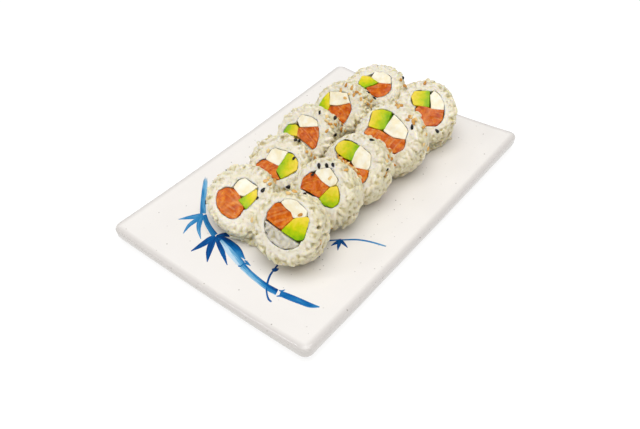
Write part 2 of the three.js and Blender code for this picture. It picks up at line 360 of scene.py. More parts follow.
def ripple(points, size, seed):
    """Smooth unevenness of about -1 to 1 at each point, with swells of about a size."""
    random = np.random.default_rng(seed)
    directions = unit(random.normal(size=(WAVES, 3)))
    directions *= 2 * math.pi / size * random.uniform(*WAVE_SPREAD, (WAVES, 1))
    phases = random.uniform(0, 2 * math.pi, WAVES)
    return np.sin(points @ directions.T + phases).sum(axis=1) / math.sqrt(WAVES)


print("a ripple:", ripple(np.eye(3) * 10, 8, 1).round(2))

# %% [markdown]
# The plate is a slab of white glazed stoneware. It warped a little in the kiln, so its corners
# lie higher than its middle, and its rim is soft. It could be a subdivided box, but then the foot,
# the side and the rim would all be guessed by the smoothing. Here it is a stack of rings instead,
# from the middle of the top, over the rim and the side, to the foot and the middle of the
# underside, each ring with an inset and a height.

# %% The plate's form
low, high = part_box("plate")
PLATE_WIDTH, PLATE_LENGTH = ((high - low) / MILLIMETRE)[:2]
TOP_HEIGHT = 7.0
CORNER_LIFT = 5.35
LIFT_SHARE_ACROSS = 0.67
CORNER_RADIUS = 5.0
CORNER_STEPS = 8
SHORT_STEPS = 30
LONG_STEPS = 44
RIM_ROUND = 2.5
RIM_STEPS = 8
UNDER_HEIGHT = 2.6
UNDER_LIFT = 2.1
UNDER_ROUND = 1.2
FOOT_INSET = 15.0
FOOT_WIDTH = 5.0
FOOT_RECESS = 1.2
HAND_UNEVENNESS = 0.1
HAND_SWELL = 45
BATTER = 0.3
FOOT_ROUND = 0.4
INNERMOST_RING = 66
RING_SPACING = 3.5


def lift_at(x, y):
    """How far the warp has raised the plate: 0 in the middle and 1 at a corner."""
    across = (x / (PLATE_WIDTH / 2)) ** 2
    along = (y / (PLATE_LENGTH / 2)) ** 2
    return across * LIFT_SHARE_ACROSS + along * (1 - LIFT_SHARE_ACROSS)


def plate_top(x, y):
    return TOP_HEIGHT + CORNER_LIFT * lift_at(x, y)


def plate_under(x, y):
    return UNDER_HEIGHT + UNDER_LIFT * lift_at(x, y)


def plate_ring(inset, height):
    """A rectangle with round corners, at heights that depend on the place."""
    half = np.array([PLATE_WIDTH, PLATE_LENGTH]) / 2 - inset
    outline = []
    for corner, signs in enumerate([(1, 1), (-1, 1), (-1, -1), (1, -1)]):
        middle = np.array(signs) * (half - CORNER_RADIUS)
        for step in range(CORNER_STEPS + 1):
            angle = math.radians(90 * (corner + step / CORNER_STEPS))
            outline.append(middle + CORNER_RADIUS * np.array([math.cos(angle), math.sin(angle)]))
        along_x = corner % 2 == 0
        start = outline[-1]
        end = start * ((-1, 1) if along_x else (1, -1))
        steps = SHORT_STEPS if along_x else LONG_STEPS
        outline += [start + (end - start) * step / (steps + 1) for step in range(1, steps + 1)]
    x, y = np.array(outline).T
    return np.column_stack([x, y, height(x, y)])


def make_plate():
    """The plate's rings, from the middle of its top to the middle of its underside."""
    insets = [*np.arange(INNERMOST_RING, RIM_ROUND + 3, -RING_SPACING), RIM_ROUND + 2, RIM_ROUND + 1]
    rings = [plate_ring(inset, plate_top) for inset in insets]
    for step in range(RIM_STEPS + 1):
        angle = math.radians(90 * step / RIM_STEPS)
        drop = RIM_ROUND * (1 - math.cos(angle))
        inset = RIM_ROUND * (1 - math.sin(angle))
        rings.append(plate_ring(inset, lambda x, y: plate_top(x, y) - drop))
    rings.append(plate_ring(BATTER, lambda x, y: plate_under(x, y) + UNDER_ROUND))
    rings.append(plate_ring(BATTER + 0.25, lambda x, y: plate_under(x, y) + UNDER_ROUND * 0.4))
    for inset in (UNDER_ROUND, UNDER_ROUND + 1, FOOT_INSET / 2, FOOT_INSET - 2):
        rings.append(plate_ring(inset, plate_under))
    rings.append(plate_ring(FOOT_INSET - 0.6, lambda x, y: plate_under(x, y) - FOOT_ROUND))
    foot = [(0, 0.5), (FOOT_ROUND, 0), (FOOT_WIDTH - FOOT_ROUND, 0), (FOOT_WIDTH, FOOT_ROUND),
            (FOOT_WIDTH + 0.6, FOOT_RECESS)]
    for inset, height in foot:
        rings.append(plate_ring(FOOT_INSET + inset, lambda x, y: 0 * x + height))
    rings = np.array(rings)
    unevenness = ripple(rings.reshape(-1, 3), HAND_SWELL, 5).reshape(rings.shape[:2])
    rings[..., 2] += HAND_UNEVENNESS * unevenness * (rings[..., 2] > FOOT_RECESS + 1)
    ends = [[0, 0, plate_top(0, 0)], [0, 0, FOOT_RECESS]]
    return make_piece("glazed_plate", *skin(rings, ends))


plate = make_plate()
print("plate:", len(plate.data.vertices), "points")

# %% [markdown]
# The glaze is glossy and warm white, with fine grey-brown specks where iron in the clay came
# through. A speck is a small disc round the seed of a Voronoi cell, and many cells get none. Very
# faint clouds keep the white from being one flat colour. Towards the rim and on the side the white
# is painted greyer, as painted shade, and along the lower edge it is painted darkest, as a painted
# line of shade.

# %% The glaze
SPECK_SPACING = 3.8
SPECK_SIZE = 0.14
CELLS_WITHOUT_SPECK = (0.3, 0.45)
CLOUD_SIZE = 30
RIM_SHADE_FROM = 4.5
RIM_SHADE_FADE = 3.0


def glaze_material():
    shader = Shader("white_glaze")
    place = shader.place()
    inputs = {"Vector": place, "Scale": 1 / SPECK_SPACING}
    distance = shader.node("ShaderNodeTexVoronoi", {}, inputs, "Distance")
    cell = shader.node("ShaderNodeTexVoronoi", {}, inputs, "Color")
    chance = shader.node("ShaderNodeSeparateColor", {}, {"Color": cell}, "Red")
    strength = shader.node("ShaderNodeSeparateColor", {}, {"Color": cell}, "Green")
    disc = 1 - distance.between(SPECK_SIZE * 0.5, SPECK_SIZE)
    speck = disc * chance.between(*CELLS_WITHOUT_SPECK) * strength
    clouds = shader.noise(place, CLOUD_SIZE, 3)
    white = shader.mix(clouds, colour(240, 236, 232), colour(246, 242, 238))
    # Painted shade: greyer towards the rim and on the side, darkest along the lower edge.
    rim = shader.mix(shader.stored("rim"), white, colour(216, 211, 207))
    side = shader.mix(shader.stored("side"), rim, colour(221, 216, 211))
    edge = shader.mix(shader.stored("lower_edge"), side, colour(150, 142, 131))
    base = shader.mix(speck * 0.75, edge, colour(120, 108, 96))
    bump = shader.bump(shader.noise(place, 9, 1), 0.05)
    return shader.surface(Base_Color=base, Roughness=0.16, Normal=bump, Specular_IOR_Level=0.45)


spots = points_of(plate)
store(plate, "place", spots)
below_top = plate_top(spots[:, 0], spots[:, 1]) - spots[:, 2]
above_under = spots[:, 2] - plate_under(spots[:, 0], spots[:, 1])
from_edge = (np.array([PLATE_WIDTH, PLATE_LENGTH]) / 2 - np.abs(spots[:, :2])).min(axis=1)
# Where the glaze's painted shade lies: near the rim, on the side and along the lower edge.
store(plate, "rim", np.clip((RIM_SHADE_FROM - from_edge) / RIM_SHADE_FADE, 0, 1))
store(plate, "side", np.clip(below_top / RIM_ROUND, 0, 1))
store(plate, "lower_edge", np.clip(1.1 - above_under / UNDER_ROUND, 0, 1))
plate.data.materials.append(glaze_material())
print("glaze on", plate.name)

# %% [markdown]
# The bamboo branch was brushed on in blue before glazing: a stalk of several joints with a light
# side, two tufts of leaves, and thin twigs. It could be painted by a mask inside the glaze's
# material, but a mask is hard to shape and blurs. So each stroke is a thin film of its own that
# follows the plate's top. A stroke is a few points of its middle line with a half width and a
# tone, read off the photograph in pixels, and the camera's rays carry them down to the plate.

# %% Brush strokes on the plate
STROKE_STEPS = 36
STROKE_SIDES = 9
FILM_HEIGHT = 0.08
FILM_CROWN = 0.7
LEAST_HALF_WIDTH = 0.05
SIDE_LIGHT = 0.55
WORN_SIDES = 0.25
APART = 40.0

plate_faces = [list(polygon.vertices) for polygon in plate.data.polygons]
plate_tree = BVHTree.FromPolygons(points_of(plate).tolist(), plate_faces)


def on_plate(pixel):
    """Where the camera's ray through a pixel meets the plate's top."""
    return np.array(plate_tree.ray_cast(Vector(camera_place), Vector(ray_through(pixel)))[0])


def smooth_path(knots, steps):
    """Points on a Catmull-Rom curve through the knots, which may hold any number of values each."""
    knots = np.asarray(knots, float)
    padded = np.vstack([2 * knots[0] - knots[1], knots, 2 * knots[-1] - knots[-2]])
    path = []
    for share in np.linspace(0, len(knots) - 1, steps):
        start = min(int(share), len(knots) - 2)
        t = share - start
        a, b, c, d = padded[start:start + 4]
        path.append(0.5 * (2 * b + (c - a) * t + (2 * a - 5 * b + 4 * c - d) * t ** 2
                           + (3 * b - a - 3 * c + d) * t ** 3))
    return np.array(path)


def make_stroke(name, knots, lit_side=0.0, seed=0):
    """A film of blue from knots of (right, down, half width, tone) in the photograph, with a fifth
    value where the cover is thin. lit_side lightens one side of it above 0 and the other below."""
    path = smooth_path([(*knot, 1)[:5] for knot in knots], STROKE_STEPS)
    middle, half_widths = path[:, :2], np.maximum(path[:, 2], LEAST_HALF_WIDTH)
    along = unit(np.gradient(middle, axis=0))
    across = np.column_stack([along[:, 1], -along[:, 0]])
    sides = np.linspace(-1, 1, STROKE_SIDES)
    top_shares = [(side, FILM_HEIGHT * (1 - FILM_CROWN * side ** 2)) for side in sides]
    under_shares = [(side, -FILM_HEIGHT) for side in sides[::-1]]
    rings, places, tones, covers = [], [], [], []
    distance = np.concatenate([[0], np.cumsum(np.linalg.norm(np.diff(middle, axis=0), axis=1))])
    for step, centre in enumerate(middle):
        ring = []
        for side, film in top_shares + under_shares:
            spot = on_plate(centre + side * half_widths[step] * across[step])
            ring.append(spot + [0, 0, film])
            places.append([distance[step], side * half_widths[step], APART * seed])
            tones.append(path[step, 3] - SIDE_LIGHT * lit_side * side)
            covers.append(path[step, 4] * (1 - WORN_SIDES * abs(side) ** 3))
        rings.append(ring)
    rings = np.array(rings)
    ends = [rings[0].mean(axis=0), rings[-1].mean(axis=0)]
    piece = make_piece(name, *skin(rings, ends))
    store(piece, "place", places + [places[0], places[-1]])
    store(piece, "tone", tones + [tones[0], tones[-1]])
    store(piece, "cover", covers + [covers[0], covers[-1]])
    return piece


photo_middle = (PHOTO_WIDTH / 2, PHOTO_HEIGHT / 2)
print("middle of the photograph, on the plate:", on_plate(photo_middle).round(1))

# %% [markdown]
# The stalk comes down from the upper left in five joints. Its leaves hang where the second joint
# begins and where it ends. Thin twigs, one with a star of small leaves, come out from under the
# right row.

# %% The branch, stroke by stroke
strokes = {
    "stalk_top": dict(lit_side=0.2, knots=[
        (206, 176, 1.6, 0.15, 0.1), (205.2, 184, 2.3, 0.3, 0.7), (204, 194, 2.6, 0.42),
        (203.2, 204, 2.8, 0.45), (203, 213.5, 3.0, 0.55)]),
    "stalk_second": dict(lit_side=-0.15, knots=[
        (204, 215, 2.6, 0.7), (207, 223, 2.6, 0.62), (211, 230, 2.8, 0.6), (215, 235.5, 3.2, 0.66)]),
    "stalk_third": dict(lit_side=-0.75, knots=[
        (221, 240, 3.2, 0.3, 0.9), (227, 247, 4.0, 0.12), (234, 255.5, 4.2, 0.16),
        (242, 264.7, 3.8, 0.36)]),
    "stalk_fourth": dict(lit_side=-0.6, knots=[
        (242.3, 265.9, 3.4, 0.42), (250, 273.5, 3.1, 0.36), (259, 281, 3.0, 0.42),
        (268, 287.5, 3.2, 0.72), (277, 292.3, 3.2, 0.75)]),
    "stalk_fifth": dict(lit_side=-0.1, knots=[
        (280, 293.3, 2.9, 0.72), (290, 297.3, 3.2, 0.72), (300, 301.3, 3.0, 0.7),
        (310, 305.2, 2.5, 0.66), (319.5, 307, 0.6, 0.5, 0.9)]),
    "light_leaf_a": dict(knots=[
        (203, 214.5, 1.6, 0.55), (198, 216.2, 2.4, 0.5), (190, 217.4, 1.9, 0.52),
        (178.5, 219.3, 0.3, 0.5, 0.8)]),
    "light_leaf_b": dict(knots=[
        (202.5, 215, 1.2, 0.55), (197, 219.5, 2.0, 0.5), (189, 225.5, 1.7, 0.52),
        (183.2, 233.5, 0.3, 0.5, 0.9)]),
    "light_leaf_c": dict(knots=[
        (202.8, 215.5, 1.2, 0.6), (200, 221, 2.6, 0.5), (198.7, 229, 2.1, 0.5),
        (200.8, 239, 0.3, 0.42, 0.8)]),
    "dark_leaf_a": dict(knots=[
        (215.5, 236.5, 1.6, 0.85), (210, 239.5, 2.9, 0.92), (201, 245.3, 2.3, 0.95),
        (191, 251.2, 0.4, 0.9)]),
    "dark_leaf_b": dict(knots=[
        (215.5, 237, 1.4, 0.9), (212, 243, 3.2, 0.95), (208.8, 252, 2.8, 0.95),
        (207.2, 262, 0.4, 0.9)]),
    "dark_leaf_c": dict(knots=[
        (216, 237, 1.4, 0.9), (219.3, 244, 2.9, 0.95), (222.8, 253, 2.4, 0.9),
        (227.2, 265, 0.4, 0.85, 0.9)]),
    "broad_leaf": dict(lit_side=-0.35, knots=[
        (216, 236.3, 1.2, 0.9), (223, 239.4, 3.1, 0.95), (231, 244.8, 4.0, 0.85),
        (238.3, 251.3, 3.7, 0.7), (245, 259.3, 0.5, 0.5, 0.9)]),
    "hidden_leaf": dict(knots=[
        (217, 236, 1.0, 0.95), (223, 234.8, 1.8, 1.0), (231, 235, 2.4, 1.0), (240, 239, 0.5, 1.0)]),
    "joint_low_a": dict(knots=[
        (238.2, 266, 0.9, 0.6, 0.9), (241.5, 266, 1.1, 0.6), (245, 263.5, 1.1, 0.65),
        (249, 265, 0.5, 0.5, 0.8)]),
    "joint_low_b": dict(knots=[
        (244.5, 260.5, 0.6, 0.5, 0.8), (247, 262.2, 1.0, 0.6), (250.5, 266, 0.4, 0.5, 0.8)]),
    "joint_end_a": dict(knots=[
        (276.5, 296.3, 0.5, 0.6, 0.9), (279.5, 296, 0.9, 0.7), (283, 296.8, 0.5, 0.6, 0.9)]),
    "joint_end_b": dict(knots=[
        (279, 290.3, 0.5, 0.6, 0.9), (281.5, 291, 0.9, 0.7), (285, 289.8, 0.4, 0.6, 0.9)]),
    "twig": dict(knots=[
        (283, 258.5, 1.0, 1.05), (280, 262, 1.0, 1.05), (275, 268.5, 0.9, 1.0),
        (270, 275.5, 1.0, 0.9), (267.2, 284, 1.1, 0.9), (266.6, 292, 0.9, 0.85),
        (268.5, 299, 1.0, 0.85), (271.5, 301.8, 0.9, 0.8, 0.9)]),
    "twig_knot": dict(knots=[
        (271.8, 269.3, 0.5, 1.05), (274.2, 269.8, 2.0, 1.05), (276.6, 269.6, 1.6, 1.05),
        (278.6, 268.6, 0.5, 1.0)]),
    "right_twig": dict(knots=[
        (321, 245, 0.9, 1.0), (325.5, 241.3, 0.8, 0.95), (334, 240.2, 0.7, 0.85),
        (346, 239.8, 0.7, 0.62), (357, 239.7, 0.8, 0.62), (368, 241.3, 0.8, 0.55, 0.9),
        (377, 243.6, 0.8, 0.45, 0.8), (386, 246.4, 0.7, 0.3, 0.4)]),
    "twig_bud": dict(knots=[
        (323, 241.6, 0.8, 1.0), (323.8, 243.2, 1.3, 1.0), (324.4, 245, 0.5, 0.95, 0.9)]),
    "star_left": dict(knots=[
        (340, 239.3, 1.0, 0.95), (337.6, 242, 1.7, 1.0), (334, 244, 1.0, 1.0),
        (331, 245.8, 0.3, 0.9, 0.9)]),
    "star_middle": dict(knots=[
        (340, 239.3, 1.0, 0.95), (339.3, 243, 2.0, 0.95), (338.3, 246.5, 1.4, 1.0),
        (337.8, 250.4, 0.3, 0.9, 0.9)]),
    "star_right": dict(knots=[
        (340, 239.3, 1.0, 0.95), (342.2, 242, 1.6, 1.0), (345, 244.8, 1.1, 1.0),
        (347.6, 247.8, 0.3, 0.9, 0.9)]),
    "half_hidden_leaf": dict(knots=[
        (313, 252, 1.0, 1.05), (316, 252.8, 1.5, 1.05), (318.2, 254.5, 1.2, 1.05),
        (319.6, 257, 0.3, 1.0, 0.9)]),
}

brushwork = []
for number, (name, stroke) in enumerate(strokes.items()):
    brushwork.append(make_stroke(name, seed=number, **stroke))
print("strokes:", len(brushwork))

# %% [markdown]
# Brushed blue is never even. Hairs of the brush leave streaks along the stroke, the colour pools
# darker where the brush stopped, and its ends run out dry. So the tone that each stroke keeps at
# its points is disturbed by noise that is stretched along the stroke, and a ramp turns it into
# pale wash, mid blue or deep blue. The dry ends are see-through, over the white glaze.

# %% The blue
def brushed_blue():
    shader = Shader("brushed_blue")
    place = shader.place()
    streaks = shader.noise(shader.stretched(place, 0.08, 1.1, 1), 1, 3)
    clouds = shader.noise(place, 5, 2)
    tone = shader.stored("tone") + (streaks - 0.5) * 0.8 + (clouds - 0.5) * 0.25
    base = tone.ramp(
        (0.0, colour(196, 222, 240)), (0.22, colour(122, 182, 218)), (0.5, colour(50, 134, 190)),
        (0.78, colour(0, 98, 168)), (1.0, colour(0, 62, 130)))
    cover = (shader.stored("cover") + (streaks - 0.5) * 0.5).between(0.15, 0.62)
    return shader.surface(Base_Color=base, Roughness=0.3, Specular_IOR_Level=0.15, Alpha=cover)


blue = brushed_blue()
for stroke in brushwork:
    stroke.data.materials.append(blue)
print("blue on", len(brushwork), "strokes")

# %% [markdown]
# A roll has a frame of its own: X to the right, Y up and Z out of its front face, with the roll's
# body behind it. It leans back and turns a little, and it rests with its rounded back edge on the
# plate. The nori's outline is a circle with two and three soft lobes. All of a roll's pieces are
# made in this frame and then carried into place.

# %% A roll's frame and outlines
GAP = 0.35
EDGE_ROUND = 4.0
LONGEST_ROUND_SHARE = 0.3
NORI_THICKNESS = 0.5
BULGE_NARROWING = 4
RICE_SWELL = 18
RICE_UNEVENNESS = 0.25
DEGREES = np.radians(np.arange(360))


class Roll:
    """One roll: its place on the plate, and the outlines of its rice and nori.

    x and y are the middle of its front face, and lean and twist are in degrees. nori holds the
    middle and radius of the seaweed, and how far and at what angle it is oval and has three lobes.
    bulge is how far and at what angle the rice swells out, and inner_rice is a line through a point
    at a slope, below which the nori holds rice."""

    def __init__(self, name, x, y, lean, twist, radius, length, nori, green_at, grain_at,
                 bulge=(0, 0), inner_rice=None):
        self.name, self.radius, self.length = name, radius, length
        self.nori_middle = np.array(nori[:2])
        self.nori_radius, self.oval, self.oval_at, self.lobes, self.lobes_at = nori[2:]
        self.green_at, self.grain_at, self.bulge, self.inner_rice = green_at, grain_at, bulge, inner_rice
        self.drawn_in = self.held_in = self.solid_nori_reach(DEGREES)
        self.edge = min(EDGE_ROUND, length * LONGEST_ROUND_SHARE)
        twisted = Matrix.Rotation(math.radians(twist), 3, "Z")
        leant = Matrix.Rotation(math.radians(90 - lean), 3, "X")
        self.turn = np.array(twisted @ leant)
        foot = self.turn @ [0, self.edge - radius, self.edge - length]
        height = plate_top(x + foot[0], y + foot[1]) + GAP + self.edge - foot[2]
        self.place = np.array([x, y, height])

    def carried(self, points):
        """Points of the roll's own frame, carried to where the roll lies."""
        return np.asarray(points) @ self.turn.T + self.place

    def own(self, points):
        """Points of the plate's frame, in the roll's own."""
        return (np.asarray(points) - self.place) @ self.turn

    def solid_nori_reach(self, angles):
        """How far the solid model's nori reaches from its middle, at angles in radians."""
        oval = self.oval * np.cos(2 * (angles - math.radians(self.oval_at)))
        lobes = self.lobes * np.cos(3 * (angles - math.radians(self.lobes_at)))
        return self.nori_radius + oval + lobes

    def ring_round(self, reach_by_degree, count):
        """Points round the nori's middle, at a reach that is given for each degree."""
        angles = turns_in(count)
        reach = np.interp(angles, DEGREES, reach_by_degree, period=2 * math.pi)[:, None]
        return self.nori_middle + reach * circle(angles)

    def nori_outline(self, inset, count):
        return self.ring_round(self.drawn_in - inset, count)

    def outside(self, points, reach_by_degree):
        """How far points lie outside a reach round the nori's middle, below 0 inside it."""
        offset = points[:, :2] - self.nori_middle
        angles = np.arctan2(offset[:, 1], offset[:, 0])
        reach = np.interp(angles, DEGREES, reach_by_degree, period=2 * math.pi)
        return np.linalg.norm(offset, axis=1) - reach

    def outside_nori(self, points):
        return self.outside(points, self.drawn_in)

    def outside_fillings(self, points):
        return self.outside(points, self.held_in)

    def rice_reach(self, angles):
        """The rice's outer radius."""
        by, at = self.bulge
        towards = np.maximum(0, np.cos(angles - math.radians(at)))
        rim = np.column_stack([circle(angles), 0 * angles]) * 20
        uneven = ripple(rim, RICE_SWELL, int(self.radius * 10))
        return self.radius + by * towards ** BULGE_NARROWING + RICE_UNEVENNESS * uneven

    def outside_rice(self, points):
        """How far points lie outside the rice's rounded form, and the way out, below 0 inside."""
        angles = np.arctan2(points[:, 1], points[:, 0])
        across = np.linalg.norm(points[:, :2], axis=1) - (self.rice_reach(angles) - self.edge)
        along = np.abs(points[:, 2] + self.length / 2) - (self.length / 2 - self.edge)
        out_across, out_along = np.maximum(across, 0), np.maximum(along, 0)
        distance = np.hypot(out_across, out_along) + np.minimum(np.maximum(across, along), 0) - self.edge
        flat = circle(angles) * out_across[:, None]
        axial = np.sign(points[:, 2] + self.length / 2) * out_along
        way = np.column_stack([flat, axial])
        return distance, way / np.maximum(np.linalg.norm(way, axis=1, keepdims=True), 1e-6)


print("a roll's edges are rounded by", EDGE_ROUND, "mm at most")

# %% [markdown]
# The left row and the right row have five rolls each, named from the near end to the far one.
# Their places, lean and twist were fitted until the edges of their cut faces and of their nori lay
# on the photograph's.

# %% The ten rolls
rolls = [
    Roll("left_1", -16.5, -59, lean=61, twist=22, radius=21, length=15,
         nori=(-1.9, -1.4, 11.9, 1.8, 48, 1.1, 47),
         green_at=215, grain_at=70, bulge=(3, -61)),
    Roll("left_2", -18, -24.5, lean=55, twist=16, radius=19.5, length=17,
         nori=(0, -1.5, 12.1, 1.8, 36, 1, -12),
         green_at=180, grain_at=-40),
    Roll("left_3", -22, 6.5, lean=49, twist=7, radius=20, length=18.5,
         nori=(-1.3, -0.4, 12.2, 1.1, 17, 1.4, -32),
         green_at=180, grain_at=60),
    Roll("left_4", -20.5, 39, lean=48, twist=-5, radius=19.5, length=21,
         nori=(-1.7, -1.4, 12.7, 1.1, -26, 0.6, -49),
         green_at=225, grain_at=80),
    Roll("left_5", -19, 77.5, lean=70, twist=8, radius=20, length=19.5,
         nori=(0.2, 1.4, 11.8, 0.8, -10, 0.9, -42),
         green_at=-60, grain_at=-70),
    Roll("right_1", 25.3, -67.5, lean=44, twist=10, radius=20, length=20.5,
         nori=(0.5, 1.9, 13.6, 0, 0, 0.3, -50),
         green_at=-80, grain_at=-55,
         inner_rice=(-1.4, -2.5, -14)),
    Roll("right_2", 21, -32.3, lean=47, twist=-2, radius=20.5, length=19.3,
         nori=(0.7, 2.6, 11.9, 2.1, -7, 1.7, -31),
         green_at=-80, grain_at=-45),
    Roll("right_3", 22, -4, lean=45, twist=-1, radius=21, length=18.5,
         nori=(0.4, 2.9, 12.5, 2.4, -37, 1.5, 46),
         green_at=0, grain_at=45),
    Roll("right_4", 24, 31, lean=52, twist=9, radius=22.5, length=21,
         nori=(-2.2, 0.5, 14.5, 1.4, -41, 0.9, 8),
         green_at=0, grain_at=-20),
    Roll("right_5", 26, 68, lean=53, twist=24, radius=21, length=20,
         nori=(3, 3.1, 11.8, 2.2, -57, 1.1, 41),
         green_at=0, grain_at=80),
]
print("rolls:", ", ".join(f"{roll.name} at {roll.place.round()}" for roll in rolls))

# %% [markdown]
# Salmon, cream cheese and avocado fill each roll. The outline of every cut end was read off the
# photograph in pixels, and the camera's rays carry it to the roll's face, where it is evened out,
# which rounds its corners. The nori is then drawn in close round what it holds.

# %% What the cut faces show
seen_fillings = {
    "left_1": {
        "salmon": [(216, 199), (218, 191), (226, 187), (234, 189), (239, 194), (242, 202),
                   (243.5, 209), (240, 214), (236, 219), (230, 219), (221, 213), (217, 206)],
        "cheese": [(233, 187), (239, 180), (245, 178), (258, 187), (251, 192), (244, 196.5),
                   (239, 195)],
        "avocado": [(238, 200), (244, 196.5), (257, 189), (258, 197), (253, 203), (246, 209.5),
                    (243, 206)]},
    "left_2": {
        "salmon": [(254, 165), (262, 160), (268, 160), (279, 166), (276, 172), (280, 183),
                   (270, 177), (261, 170)],
        "cheese": [(266, 159), (272, 149), (276, 148), (288, 152), (284, 159), (279, 166),
                   (270, 162)],
        "avocado": [(288, 153), (293, 154), (298, 162), (297, 170), (287, 176), (281, 179),
                    (276, 171), (279, 162)]},
    "left_3": {
        "salmon": [(298, 128), (308, 126), (318, 126.5), (319, 136), (315, 148), (312, 149),
                   (304, 142), (297, 136)],
        "cheese": [(297, 120), (302, 115), (311, 116.5), (317, 121), (318, 126.5), (300, 127.5)],
        "avocado": [(283, 132), (288, 124.5), (296, 124.5), (298, 128), (297, 136), (290, 135)]},
    "left_4": {
        "salmon": [(327, 112), (330, 106), (338, 106), (350, 103), (351, 110), (344, 124),
                   (335, 117)],
        "cheese": [(330, 92), (338, 91.5), (347, 93), (350, 103), (338, 105.5), (330, 105)],
        "avocado": [(318, 107), (323, 98), (329, 92), (330, 105), (327, 112)]},
    "left_5": {
        "salmon": [(366, 88), (379, 83), (391, 84), (391, 90), (385, 96), (377, 98), (371, 94)],
        "cheese": [(371, 77), (375, 71.5), (383, 72), (391, 77), (391, 84), (379, 83)],
        "avocado": [(358, 83), (362, 76), (370, 76.5), (378, 82), (373, 85), (364, 88)]},
    "right_1": {
        "salmon": [(267, 212), (275, 202.5), (281, 203), (286, 209), (292, 213), (293, 219),
                   (281, 230), (272, 223), (266, 219)],
        "cheese": [(281, 202), (285, 199.5), (291, 199), (297, 201), (307, 211), (306, 217),
                   (293, 218), (291, 212), (286, 208)],
        "avocado": [(293, 219), (300, 217), (308, 217), (309, 221), (306, 232), (303, 240),
                    (296, 241), (281, 231)]},
    "right_2": {
        "salmon": [(300, 188), (303, 178), (310, 171.5), (316, 174), (329, 187), (319, 198),
                   (309, 192)],
        "cheese": [(315, 173), (316, 168), (330, 167), (339, 179), (336, 184), (330, 187),
                   (322, 181)],
        "avocado": [(330, 187.5), (337, 186), (339, 196), (338, 204), (332, 208), (323, 205),
                    (319, 198)]},
    "right_3": {
        "salmon": [(337, 155), (344, 159), (354, 167), (368, 170), (367, 178), (364, 185),
                   (356, 184), (345, 174)],
        "cheese": [(360, 145.5), (371, 155), (370, 166), (368, 170), (355, 168), (351.5, 162),
                   (355, 153)],
        "avocado": [(336, 141), (343, 140), (350, 141), (359, 146), (352, 161), (344, 158),
                    (337, 153), (335, 148)]},
    "right_4": {
        "salmon": [(363, 133), (368, 127), (380, 130.5), (393, 138), (405, 140), (404, 148),
                   (397, 153), (390, 153), (380, 143)],
        "cheese": [(394, 114.5), (402, 122), (408, 131), (405, 139.5), (393, 138), (383, 130.5)],
        "avocado": [(372, 110), (382, 109), (392, 112), (385, 129), (380, 130), (368, 126)]},
    "right_5": {
        "salmon": [(415, 109), (420, 105), (430, 108), (444, 109.5), (443, 120), (437, 126),
                   (424, 127), (418, 118)],
        "cheese": [(430, 95), (434, 90.5), (439, 94), (444, 103), (444, 110), (431, 109)],
        "avocado": [(411, 97), (415, 91), (430, 91), (429, 107), (413, 105)]},
}
print("cut faces read off:", len(seen_fillings))

# %% [markdown]
# An outline is first spaced evenly and then softened by damping its quick turns, as a blur would.
# Rice that lies inside the nori is what a straight line cuts off below the fillings.

# %% Outlines on the faces
OUTLINE_STEPS = 64
CORNER_SOFTNESS = 0.35
ROOM_PAST_NORI = 0.3
RICE_BELOW_LINE = 0.05
LEAST_NORI_SHARE = 0.75
NORI_WINDOW = 6
HELD_WINDOW = 2


def evened(outline, steps):
    """A closed outline as evenly spaced points, and its length."""
    closed = np.vstack([outline, outline[:1]])
    distance = np.concatenate([[0], np.cumsum(np.linalg.norm(np.diff(closed, axis=0), axis=1))])
    shares = np.arange(steps) * distance[-1] / steps
    even = [np.interp(shares, distance, closed[:, axis]) for axis in (0, 1)]
    return np.column_stack(even), distance[-1]


def softened(outline, softness):
    """Rounds the corners of a closed outline by averaging over a length."""
    points, length = evened(outline, OUTLINE_STEPS)
    reach = np.fft.fftfreq(OUTLINE_STEPS, length / OUTLINE_STEPS)
    damping = np.exp(-2 * (math.pi * reach * softness) ** 2)
    smooth = [np.fft.ifft(np.fft.fft(points[:, axis]) * damping).real for axis in (0, 1)]
    return np.column_stack(smooth)


def seen_outline(roll, pixels):
    """The outline seen at pixels, on the roll's cut face and about inside the solid's nori."""
    outline = []
    for pixel in pixels:
        start = roll.own(camera_place[None])[0]
        direction = ray_through(pixel) @ roll.turn
        outline.append((start - direction * start[2] / direction[2])[:2])
    outline = np.array(outline) - roll.nori_middle
    angles = np.arctan2(outline[:, 1], outline[:, 0])
    room = roll.solid_nori_reach(angles) + ROOM_PAST_NORI
    distance = np.linalg.norm(outline, axis=1)
    return roll.nori_middle + outline * np.minimum(room / distance, 1)[:, None]


def cut_below(outline, line):
    """Keeps the part of an outline below a line through a point at a slope."""
    slope = math.radians(line[2])
    depths = (outline - line[:2]) @ [math.sin(slope), -math.cos(slope)] - RICE_BELOW_LINE
    kept = []
    for number, here in enumerate(outline):
        there = outline[(number + 1) % len(outline)]
        depth, next_depth = depths[number], depths[(number + 1) % len(outline)]
        if depth >= 0:
            kept.append(here)
        if (depth >= 0) != (next_depth >= 0):
            kept.append(here + (there - here) * depth / (depth - next_depth))
    return np.array(kept)


def reach_round(roll, outlines, window):
    """How far a wrap that lies close round some outlines reaches at each degree."""
    held = np.vstack([evened(outline, 400)[0] for outline in outlines]) - roll.nori_middle
    reach = roll.solid_nori_reach(DEGREES) * LEAST_NORI_SHARE
    degree = np.degrees(np.arctan2(held[:, 1], held[:, 0])).round().astype(int) % 360
    np.maximum.at(reach, degree, np.linalg.norm(held, axis=1))
    shifts = range(-window, window + 1)
    widest = np.max([np.roll(reach, shift) for shift in shifts], axis=0)
    return np.mean([np.roll(widest, shift) for shift in shifts], axis=0)


